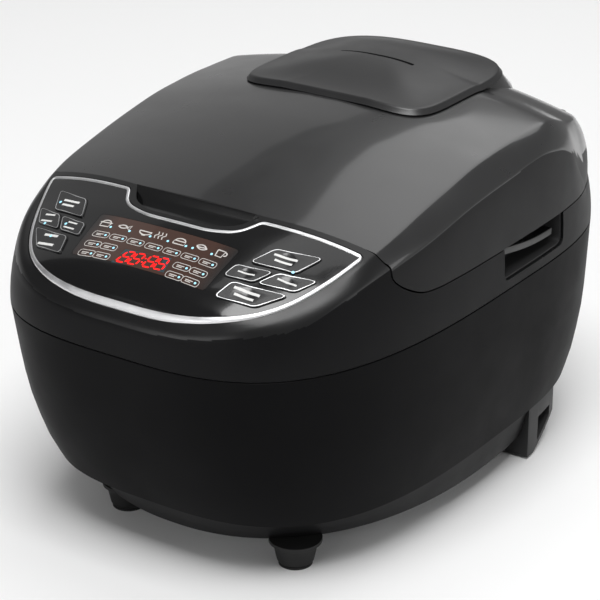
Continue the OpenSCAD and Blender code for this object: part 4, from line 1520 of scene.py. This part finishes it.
@dataclass(frozen=True)
class PanelFace:
    """The glossy fascia, its trim and everything printed or lit on the display window."""

    form: CookerForm = FORM
    window: Table = ((-50.5, -173), (-48.5, -205), (48.5, -205), (50.5, -173))
    screen: Table = ((-17.8, -205.6), (18.5, -203.1), (16.3, -192.5), (-15.4, -194.9))
    signs: tuple[tuple[Sign, float], ...] = (
        (Sign.POT, -42.1), (Sign.FISH, -28.3), (Sign.BOWL, -12.6), (Sign.STEAM, -1.8), (Sign.CAKE, 12.8),
        (Sign.LEAF, 28.2), (Sign.CUP, 41.7))
    sign_lights: tuple[float, ...] = (-37.0, -22.9, -7.6, 5.3, 18.4, 23.2, 36.8)
    sign_y: float = -179.4
    sign_size: tuple[float, float, float] = (4.4, 3.0, 0.72)
    pills: Table = (
        (-39, -188.3), (-26.2, -188.3), (-13.2, -188.3), (0, -188.3), (13.2, -188.3), (26.2, -188.3),
        (39, -188.3), (-38.9, -196), (-27.0, -196), (26.2, -196), (38, -196), (-38.2, -203), (-27.0, -203),
        (26, -203), (37.4, -203))
    pill_size: tuple[float, float] = (5.9, 2.3)
    digit_size: tuple[float, float] = (0.17, 0.78)
    digit_starts: tuple[float, ...] = (0.05, 0.265, 0.555, 0.77)
    lean: float = 0.045
    lit_height: float = 0.14

    def slab(self, low: float, high: float) -> Shell:
        """Makes a slab along the panel's surface."""
        across, along = np.arange(-124, 124.1, 2.0), np.arange(-228, -140.9, 1.5)
        return height_slab(across, along, self.form.panel_height, low, high)

    def plate(self, outline: np.ndarray, low: float = -0.1, high: float = 0.06) -> Shell:
        """Lays a thin plate on the panel.

        Args:
            outline: Outline in plan.
            low: Underside, measured from the panel.
            high: Top side, measured from the panel.

        Returns:
            The closed plate.
        """
        plan = anticlockwise(np.asarray(outline, float))
        z = self.form.panel_height(plan[:, 0], plan[:, 1])
        return loft([at_height(plan, z + low), at_height(plan, z + high)])

    def frame(self, outline: np.ndarray, line: float, low: float = -0.1, high: float = 0.06) -> Shell:
        """Lays a thin closed line on the panel.

        Args:
            outline: Outline in plan.
            line: Width of the line.
            low: Underside, measured from the panel.
            high: Top side, measured from the panel.

        Returns:
            The closed line.
        """
        plan = anticlockwise(np.asarray(outline, float))
        rings = []
        for across, up in ((0, low), (0, high), (-line, high), (-line, low)):
            edge = offset_outline(plan, across)
            rings.append(at_height(edge, self.form.panel_height(edge[:, 0], edge[:, 1]) + up))
        return tube_loft(rings)

    @staticmethod
    def disc(x: float, y: float, radius: float) -> np.ndarray:
        """Gives a circle in plan."""
        turn = np.linspace(0, 2 * math.pi, 20, endpoint=False)
        return np.column_stack([x + radius * np.cos(turn), y + radius * np.sin(turn) * 0.93])

    @staticmethod
    def pill(x: float, y: float, half: float, height: float) -> np.ndarray:
        """Gives a rounded oblong in plan."""
        signs = ((-1, -1), (1, -1), (1, 1), (-1, 1))
        return rounded([(x + a * half, y + b * height) for a, b in signs], [height * 0.95] * 4, 6)

    def on_screen(self, u: float, v: float) -> np.ndarray:
        """Gives the place on the digit screen of u across and v up, both 0 to 1."""
        a, b, c, d = (np.array(corner, float) for corner in self.screen)
        return a * (1 - u) * (1 - v) + b * u * (1 - v) + c * u * v + d * (1 - u) * v

    def digits(self) -> list[Shell]:
        """Makes the four leaning digits and the colon of the display.

        Returns:
            One skin for each segment and dot.
        """
        shells, (wide, tall) = [], self.digit_size
        for start in self.digit_starts:
            def lit(*corners: tuple[float, float]) -> Shell:
                """Makes a segment from corners across and up this digit, 0 to 1, with a lean.

                Args:
                    corners: Corners of the segment.

                Returns:
                    The closed segment.
                """
                places = [self.on_screen(start + wide * a + self.lean * b, 0.11 + tall * b)
                          for a, b in corners]
                return self.plate(np.array(places), high=self.lit_height)

            half = 0.055
            for b0 in (0.0, 0.5, 1.0):
                shells.append(lit((0.1, b0), (0.2, b0 - half), (0.8, b0 - half), (0.9, b0), (0.8, b0 + half),
                                  (0.2, b0 + half)))
            half = 0.1
            for a0 in (0.0, 1.0):
                for b0, b1 in ((0.05, 0.45), (0.55, 0.95)):
                    shells.append(lit((a0, b0), (a0 + half, b0 + 0.07), (a0 + half, b1 - 0.07), (a0, b1),
                                      (a0 - half, b1 - 0.07), (a0 - half, b0 + 0.07)))
        for v in (0.36, 0.64):
            x, y = self.on_screen(0.497 + v * self.lean, v)
            shells.append(self.plate(self.disc(x, y, 0.55), high=self.lit_height))
        return shells

    def parts(self) -> list[Part]:
        """Gives every piece of the panel except its keys.

        Returns:
            The pieces.
        """
        base = Body.BASE.value
        window = rounded(self.window, [2.5] * 4)
        grown = rounded([(x * 1.004, y + (0.2 if y > -190 else -0.2)) for x, y in self.window], [2.6] * 4)
        wells = [key.well() for key in KEYS]
        fascia_cuts = ((Cut.KEEP, PANEL.column(-1.15)), *removing(prism(grown, 150, 240), *wells))
        half = PANEL.trim_half
        trim = PANEL.bead([(half, -0.7), (half, 0.2), (half * 0.62, 0.44), (0, 0.5), (-half * 0.62, 0.44),
                           (-half, 0.2), (-half - 0.1, -0.7)])
        marks, lights = [], []
        for sign, x in self.signs:
            marks += [self.plate(ribbon) for ribbon in sign.value.ribbons(x, self.sign_y, *self.sign_size)]
        lights += [self.plate(self.disc(x, -181.6, 0.8), high=0.12) for x in self.sign_lights]
        for x, y in self.pills:
            marks.append(self.frame(self.pill(x, y, *self.pill_size), 0.34))
            marks.append(self.plate(self.pill(x - 1.0, y + 0.35, 2.6, 0.26)))
            marks.append(self.plate(self.pill(x - 1.5, y - 0.65, 1.9, 0.24)))
            lights.append(self.plate(self.disc(x + 3.4, y, 0.75), high=0.12))
        return [
            Part("fascia", self.slab(-2.4, 0), Finishes.PANEL, base, ("panel_fascia",), fascia_cuts),
            Part("trim_bead", trim, Finishes.TRIM, base, ("panel_trim",), sharp=60),
            Part("window_lens", self.slab(-1.6, 0), Finishes.WINDOW, base, ("display_window",),
                 ((Cut.KEEP, prism(window, 150, 240)),)),
            Part("window_signs", joined(marks), Finishes.MARK_DIM, base),
            Part("window_lights", joined(lights), Finishes.BLUE_DOT, base),
            Part("digit_screen", self.plate(np.array(self.screen), high=0.08), Finishes.SCREEN, base),
            Part("digits", joined(self.digits()), Finishes.RED_DIGIT, base)]


class KeyLabel(Enum):
    """The generic signs on the keys."""

    BARS_WIDE = ((-0.44, 0.14, 0.34), (-0.34, -0.14, 0.24))
    BARS_SHORT = ((-0.4, 0.0, 0.4),)
    BARS_OFFSET = ((-0.4, 0.26, 0.22), (-0.4, -0.22, 0.32))


@dataclass(frozen=True)
class Key:
    """One rocker key of the panel with its outline, label and light."""

    node: str
    side: Side
    corners: Table
    label: KeyLabel
    dished: bool = False
    light: Optional[tuple[float, float]] = None
    lift: float = 0.8
    gap: float = 0.35
    count: int = 120

    def spot(self) -> Spot:
        """Gives the axes that stand on the panel at the key's middle."""
        middle = np.mean(np.array(self.corners), axis=0)
        return FORM.spot(self.side.value * middle[0], middle[1])

    def reach(self, grow: float) -> np.ndarray:
        """Gives the outline's distance from the middle at even angles.

        Args:
            grow: How far outside the outline.

        Returns:
            One distance for each angle.
        """
        local = np.array(self.corners) - np.mean(np.array(self.corners), axis=0)
        slope = math.cos(math.radians(22))
        local = np.column_stack([self.side.value * local[:, 0] * 1.02, local[:, 1] / slope])
        fine = evenly(rounded(anticlockwise(local), [3.2] * 4, 10), 0.2)
        angle = np.arctan2(fine[:, 1], fine[:, 0])
        order = np.argsort(angle)
        at = np.linspace(-math.pi, math.pi, self.count, endpoint=False)
        return np.interp(at, angle[order], np.linalg.norm(fine, axis=1)[order], period=2 * math.pi) + grow

    def ring(self, grow: float, z: float, circle: float = 0.0, radius: float = 1.0) -> np.ndarray:
        """Gives one ring: the outline, or a mix of it and a circle.

        Args:
            grow: How far outside the outline.
            z: Height in the key's axes.
            circle: Share of the circle, from 0 to 1.
            radius: Radius of the circle.

        Returns:
            The ring's points.
        """
        at = np.linspace(-math.pi, math.pi, self.count, endpoint=False)
        size = self.reach(grow) * (1 - circle) + radius * circle
        return np.column_stack([size * np.cos(at), size * np.sin(at), np.full(self.count, z)])

    def dish(self) -> float:
        """Gives the radius of the key's dimple."""
        return float(self.reach(-1.3).min()) * (0.98 if self.dished else 0.6)

    def depth(self, x: np.ndarray, y: np.ndarray) -> np.ndarray:
        """Gives the height of the key's top in its own axes.

        Args:
            x: Places across the key.
            y: Places along the key.

        Returns:
            The heights.
        """
        share = np.clip(np.hypot(x, y) / self.dish(), 0, 1)
        sink = 0.5 if self.dished else 0.0
        return self.lift - sink * (1 - share ** 2)

    def well(self) -> Shell:
        """Gives the key's opening in the fascia."""
        return loft([self.ring(self.gap, -8), self.ring(self.gap, 8)]).placed(self.spot())

    def cap(self) -> Shell:
        """Makes the key's body.

        Returns:
            The closed body.
        """
        size = self.dish()
        rings = [self.ring(0, -2.4), self.ring(0, self.lift - 0.35), self.ring(-0.12, self.lift - 0.1),
                 self.ring(-0.38, self.lift), self.ring(-1.25, self.lift),
                 self.ring(-1.3, self.lift, 0.5, size)]
        rings += [self.ring(0, float(self.depth(np.array([size * s]), np.array([0.0]))[0]), 1, size * s)
                  for s in (1.0, 0.94, 0.85, 0.7, 0.5, 0.3, 0.12)]
        return loft(rings, (0, 0, float(self.depth(np.zeros(1), np.zeros(1))[0]))).placed(self.spot())

    def parts(self) -> list[Part]:
        """Gives the key's cap, outline, label and light.

        Returns:
            The pieces.
        """
        spot = self.spot()
        stem = round_bar((0, 0, -5.2), 2, 3.4, 2, steps=24).placed(spot)
        line = tube_loft([self.ring(-0.42, self.lift - 0.2), self.ring(-0.42, self.lift + 0.06),
                          self.ring(-0.92, self.lift + 0.06), self.ring(-0.92, self.lift - 0.2)]).placed(spot)
        size = float(self.reach(-1.3).max())
        bars = []
        for x0, y, x1 in self.label.value:
            middle, tall = y * size * 0.7, 0.042 * size
            xs, ys = np.linspace(x0 * size, x1 * size, 14), np.linspace(middle - tall, middle + tall, 3)
            bars.append(height_slab(xs, ys, self.depth, -0.1, 0.05))
        tilt = math.radians(-12 * self.side.value)
        turned = joined(bars)
        sine, cosine = math.sin(tilt), math.cos(tilt)
        spin = np.array([[cosine, -sine, 0], [sine, cosine, 0], [0, 0, 1]])
        label = Shell(turned.points @ spin, turned.faces).placed(spot)
        out = [Part(f"{self.node}_cap", self.cap(), Finishes.KEY, self.node, (self.node,),
                    ((Cut.JOIN, stem),), sharp=50),
               Part(f"{self.node}_outline", line, Finishes.OUTLINE, self.node, sharp=60),
               Part(f"{self.node}_label", label, Finishes.MARK, self.node)]
        if self.light is not None:
            dot = round_bar((self.light[0], self.light[1], self.lift - 0.3), 0.95, 0.5, 2, edge=0.2, steps=24)
            out.append(Part(f"{self.node}_light", dot.placed(spot), Finishes.BLUE_DOT, self.node))
        return out


KEY_A = ((95.5, -155.5), (68.5, -163.5), (62.0, -178.5), (89.0, -172.0))
KEY_B = ((76.5, -177.0), (54.5, -182.5), (53.0, -192.5), (71.0, -188.5))
KEY_C = ((100.5, -168.0), (79.0, -176.0), (73.5, -188.0), (94.5, -181.0))
KEY_D = ((91.0, -184.0), (59.0, -193.5), (57.0, -206.5), (80.5, -200.0))
KEYS = (
    Key("key_cancel", Side.LEFT, KEY_A, KeyLabel.BARS_WIDE, light=(-9.5, 1.5)),
    Key("key_time", Side.LEFT, KEY_C, KeyLabel.BARS_OFFSET, light=(-1.0, -4.2)),
    Key("key_delay", Side.LEFT, KEY_B, KeyLabel.BARS_OFFSET, light=(-5.6, 1.6)),
    Key("key_temperature", Side.LEFT, KEY_D, KeyLabel.BARS_OFFSET, light=(-1.2, 3.6)),
    Key("key_start", Side.RIGHT, KEY_A, KeyLabel.BARS_WIDE, dished=True, light=(8.5, -5.0)),
    Key("key_hours", Side.RIGHT, KEY_B, KeyLabel.BARS_SHORT, dished=True),
    Key("key_minutes", Side.RIGHT, KEY_C, KeyLabel.BARS_SHORT, dished=True),
    Key("key_menu", Side.RIGHT, KEY_D, KeyLabel.BARS_WIDE, dished=True))


@dataclass(frozen=True)
class ReleaseButton:
    """The scooped push button in the panel's notch."""

    view: Table = (
        (-161.6, 204), (-161.6, 209.2), (-160.6, 209.5), (-159, 208.4), (-156.5, 208.0), (-154, 208.7),
        (-151.5, 210.9), (-149.5, 213.8), (-148.1, 216.9), (-147.3, 218.0), (-146.8, 217.8), (-146.7, 204))

    def parts(self) -> list[Part]:
        """Gives the button.

        Returns:
            The button's one piece.
        """
        body = side_prism(self.view, -60, 60)
        plan = prism(PANEL.notch_pocket(-0.7, -146.7, 5.5), 200, 240)
        cuts = ((Cut.KEEP, plan), (Cut.JOIN, block((-8, -161, 198), (8, -153, 207))))
        return [Part("button_scoop", body, Finishes.BUTTON, Body.BUTTON.value, ("release_button",), cuts,
                     sharp=40, edge=0.35)]


# ---------------------------------------------------------------- lid and cap


@dataclass(frozen=True)
class SteamCap:
    """The lift-off cap over the steam cup."""

    form: CookerForm = FORM
    half: float = 69.0
    length: float = 66.0
    middle: float = 56.0
    top: float = 256.0
    band: float = 3.9
    flare: float = 2.6
    slot_half: float = 28.0
    slot_y: float = 49.5

    def plan(self, share: float, grow: float = 0.0) -> np.ndarray:
        """Gives the cap's outline in plan at a share of its size, grown by a distance.

        Args:
            share: Share of the full size.
            grow: How far outside the outline.

        Returns:
            Points in plan.
        """
        turn = np.linspace(0, 2 * math.pi, 4001)
        plan = squircle(turn, self.half, self.length, self.length, 7.0, 3.2)[:-1]
        even = evenly(plan, 2.0)
        if grow:
            even = offset_outline(even, grow)
        return even * share + (0, self.middle)

    def seat_height(self, plan: np.ndarray) -> np.ndarray:
        """Gives the height of the cap's lower edge, which lies on the dome."""
        dome = self.form.top_height(plan[:, 0], plan[:, 1], self.form.dome_line, 2)
        return np.clip(dome + 0.3, 240.8, 244.4)

    def ring(self, share: float) -> np.ndarray:
        """Gives a ring of the cap's top at a share of its size.

        Args:
            share: Share of the full size.

        Returns:
            The ring's points.
        """
        plan = self.plan(share)
        rim = self.seat_height(self.plan(1.0)) + self.band
        lift = 0.5 + 0.5 * math.cos(math.pi * min(1.0, share) ** 1.2)
        flat = rim * share ** 3 + (self.top - 7.6) * (1 - share ** 3)
        return at_height(plan, flat + (self.top - flat) * lift)

    def bed(self, grow: float, low: float, high: float) -> Shell:
        """Gives the cap's outline as a solid, for cutting."""
        return prism(self.plan(1.0, grow), low, high)

    def cover(self) -> Part:
        """Makes the cover with its flared band and its slot.

        Returns:
            The cover.
        """
        foot = self.seat_height(self.plan(1.0))
        rings = [at_height(self.plan(1.0, grow), foot + up) for grow, up in (
            (self.flare - 1.2, 0.0), (self.flare - 0.3, 0.05), (self.flare, 0.45), (self.flare * 0.6, 1.6),
            (self.flare * 0.25, 2.8), (0.1, self.band - 0.35), (-0.5, self.band - 0.02))]
        shares = (0.98, 0.965, 0.945, 0.92, 0.89, 0.86, *np.linspace(0.82, 0.06, 20))
        rings += [self.ring(share) for share in shares]
        u = np.linspace(0, 1, 16)
        path = np.column_stack([self.slot_half * (2 * u - 1), np.full(16, self.slot_y)])
        wide = np.column_stack([0 * u, 0.55 + 0.95 * u ** 0.6])
        outline = np.vstack([path - wide, (path + wide)[::-1]])
        slot = prism(rounded(outline, [0.8 if i in (0, 15, 16, 31) else 0 for i in range(32)]), 238, 270)
        return Part("steam_cap_cover", loft(rings, (0, self.middle, self.top)), Finishes.CAP, Body.CAP.value,
                    ("cap_cover",), ((Cut.REMOVE, slot),))

    def parts(self) -> list[Part]:
        """Gives the visible cap."""
        return [self.cover()]


CAP = SteamCap()


@dataclass(frozen=True)
class Lid:
    """The hinged lid: dome, cap seat and arms."""

    form: CookerForm = FORM
    wall: float = 2.5
    tube_radius: float = 29.2
    seat_rows: tuple[tuple[float, ...], ...] = (
        (196, 76, 66, 94), (214, 74.5, 65, 90), (228, 71, 63.5, 82), (237, 67, 62, 73))

    def seat(self, inset: float) -> Shell:
        """Makes the raised seat of the cap, which slopes down to the hinge.

        Args:
            inset: How far inside the seat's skin.

        Returns:
            The closed solid.
        """
        turn = np.linspace(0, 2 * math.pi, 160, endpoint=False)
        rows = (*self.seat_rows, (244.2 - inset, 62, 60, 61))
        return loft([at_height(squircle(turn, a - inset, f - inset, b - inset, 4, 3.6) + (0, CAP.middle), z)
                     for z, a, f, b in rows])

    def clearance(self) -> list[Shell]:
        """Gives what the fixed half of the hinge needs clear.

        Returns:
            Solids for cutting.
        """
        reach = HINGE.knuckle + 1.5
        return [round_bar((-82, HINGE.y, HINGE.z), reach, 164, 0),
                block((-82, HINGE.y - reach, 160), (82, HINGE.y + 60, HINGE.z)),
                block((-82, HINGE.y + 4, HINGE.z), (82, HINGE.y + 64, HINGE.z + 60))]

    def inside(self) -> Shell:
        """Gives the hollow of the lid.

        Returns:
            The closed solid.
        """
        rear = HINGE.y - HINGE.knuckle - 4
        view = [*self.form.seam_line(2.6, -6), (-141.9, 241.8), (rear, 241.8), (rear, self.form.lid_z - 6)]
        return combined(self.form.dome(self.wall), [(Cut.JOIN, self.seat(self.wall)),
                                                    (Cut.KEEP, self.form.bowed_prism(view))])

    def parts(self) -> list[Part]:
        """Gives the lid's shell.

        Returns:
            The lid's one piece.
        """
        cuts = [(Cut.JOIN, self.seat(0)), (Cut.KEEP, self.form.lid_space(0, 0.4)),
                *removing(*self.clearance(), self.inside())]
        for side in Side:
            start, end = side.span(*HINGE.lid_span)
            arm = block((start, HINGE.y - 22, HINGE.z - 4), (end, HINGE.y - 2, HINGE.z + 10))
            cuts += [(Cut.JOIN, HINGE.knuckle_bar(start, end)), (Cut.JOIN, arm)]
        tube = round_bar((0, CAP.middle, 180), self.tube_radius, 90, 2, steps=120)
        cuts += removing(HINGE.bore(0.06), tube, CAP.bed(3.1, 244.0, 264))
        # The lid's steep faces get painted shade through the flank finish.
        return [Part("lid_dome", self.form.dome(), Finishes.LID, Body.LID.value, ("lid_shell",), tuple(cuts),
                     flank=Finishes.LID_FLANK_SHADED, steep=0.22)]


# ---------------------------------------------------------------- parts kept from the frame


@dataclass(frozen=True)
class KeptNodes:
    """Finishes for the frame's own nodes that stay as they are."""

    finishes: tuple[tuple[Finishes, tuple[str, ...]], ...] = (
        (Finishes.STEEL, ("bottom_plate", "base_screws", "button_spring", "latch_hook", "latch_bracket",
                          "latch_pin", "heat_shield", "heater_legs", "sensor_spring", "hinge_pin",
                          "hinge_spring", "deck_screws", "lid_striker", "lid_screws", "inlet_pins")),
        (Finishes.ALUMINIUM, ("heater_plate", "temp_sensor", "lid_plate")),
        (Finishes.LINER, ("lid_liner", "steam_cup", "cap_cup")),
        (Finishes.RUBBER, ("foot_pads", "lid_plate_grommet")),
        (Finishes.SILICONE, ("lid_gasket", "steam_tube")),
        (Finishes.MODULE, ("display_module", "key_switches")),
        (Finishes.GREEN_BOARD, ("control_board", "power_board")),
        (Finishes.POT, ("inner_pot",)), (Finishes.INLET, ("inlet_socket",)),
        (Finishes.CERAMIC, ("thermal_fuse",)), (Finishes.WIRE, ("wire_harness",)))

    def dress(self) -> None:
        """Puts the finishes on."""
        for finish, names in self.finishes:
            for name in names:
                finish.value.dress(frame["nodes"][name])
                LOG.info("%-22s kept, %s", name, finish.value.name)


# ---------------------------------------------------------------- studio


@dataclass(frozen=True)
class SoftLight:
    """A rectangular light that looks at a point over the cooker."""

    name: str
    place: tuple[float, float, float]
    size: tuple[float, float]
    power: float
    target: tuple[float, float, float] = (0.0, 0.0, 0.2)
    along: tuple[float, float, float] = (1.0, 0.0, 0.0)

    def hang(self) -> None:
        """Adds the light."""
        data = bpy.data.lights.new(self.name, "AREA")
        data.shape = "RECTANGLE"
        data.size, data.size_y = self.size
        data.energy = self.power
        lamp = bpy.data.objects.new(self.name, data)
        lamp.location = self.place
        away = (Vector(self.place) - Vector(self.target)).normalized()
        across = (Vector(self.along) - away * away.dot(Vector(self.along))).normalized()
        lamp.rotation_euler = Matrix((across, away.cross(across), away)).transposed().to_euler()
        bpy.context.scene.collection.objects.link(lamp)


@dataclass(frozen=True)
class Studio:
    """Floor, sky, lights and camera."""

    camera_place: tuple[float, float, float] = (0.7323, -1.0777, 0.6798)
    camera_back: tuple[float, float, float] = (0.5182, -0.7557, 0.4004)
    lens: float = 131.5
    sky: tuple[float, float] = (0.1, 0.34)
    lights: tuple[SoftLight, ...] = (
        SoftLight("back_top_light", (-0.1, 1.25, 2.36), (1.7, 2.9), 23),
        SoftLight("back_left_card", (-1.7, 1.09, 1.17), (2.8, 1.6), 4.5, along=(0.428, 0.755, -0.497)),
        SoftLight("right_card", (2.0, 0.2, 0.9), (0.9, 1.3), 6),
        SoftLight("overhead_light", (0.6, -0.9, 3.0), (1.8, 1.4), 78),
        SoftLight("front_light", (-0.5, -2.6, 1.0), (2.0, 0.7), 14))

    def floor(self) -> None:
        """Lays a plain pale floor."""
        turn = np.linspace(0, 2 * math.pi, 96, endpoint=False)
        disc = np.column_stack([6000 * np.cos(turn), 6000 * np.sin(turn), np.zeros(96)])
        mesh = Shell(disc, [tuple(range(96))]).mesh("studio_floor")
        floor = add_object("studio_floor", mesh)
        plain = bpy.data.materials.new("pale_floor")
        plain.use_nodes = True
        shader = plain.node_tree.nodes["Principled BSDF"]
        shader.inputs["Base Color"].default_value = (0.86, 0.86, 0.86, 1)
        shader.inputs["Roughness"].default_value = 0.75
        floor.data.materials.append(plain)

    def build(self) -> None:
        """Sets up the whole studio."""
        self.floor()
        world = bpy.data.worlds.new("pale_sky")
        world.use_nodes = True
        background = world.node_tree.nodes["Background"]
        background.inputs["Color"].default_value = (1, 1, 1, 1)
        tree = world.node_tree
        place = tree.nodes.new("ShaderNodeTexCoord")
        split = tree.nodes.new("ShaderNodeSeparateXYZ")
        ramp = tree.nodes.new("ShaderNodeMapRange")
        ramp.inputs["From Min"].default_value = -1.0
        ramp.inputs["To Min"].default_value, ramp.inputs["To Max"].default_value = self.sky
        tree.links.new(place.outputs["Generated"], split.inputs["Vector"])
        tree.links.new(split.outputs["X"], ramp.inputs["Value"])
        tree.links.new(ramp.outputs["Result"], background.inputs["Strength"])
        bpy.context.scene.world = world
        for light in self.lights:
            light.hang()
        data = bpy.data.cameras.new("camera")
        data.lens, data.sensor_width = self.lens, 36.0
        data.clip_start, data.clip_end = 0.05, 50
        camera = bpy.data.objects.new("camera", data)
        camera.location = self.camera_place
        camera.rotation_euler = (-Vector(self.camera_back)).to_track_quat("-Z", "Y").to_euler()
        bpy.context.scene.collection.objects.link(camera)
        bpy.context.scene.camera = camera
        bpy.context.scene.view_settings.view_transform = "Standard"


def main() -> None:
    """Builds the cooker and its studio."""
    logging.basicConfig(level=logging.INFO, format="%(name)s: %(message)s")
    KeptNodes().dress()
    parts = [*Housing().parts(), *Collar().parts(), *PanelFace().parts(), *ReleaseButton().parts(),
             *Lid().parts(), *CAP.parts()]
    for key in KEYS:
        parts.extend(key.parts())
    for part in parts:
        part.fit()
    Studio().build()
    LOG.info("%d pieces fitted", len(parts))


if __name__ == "__main__":
    main()
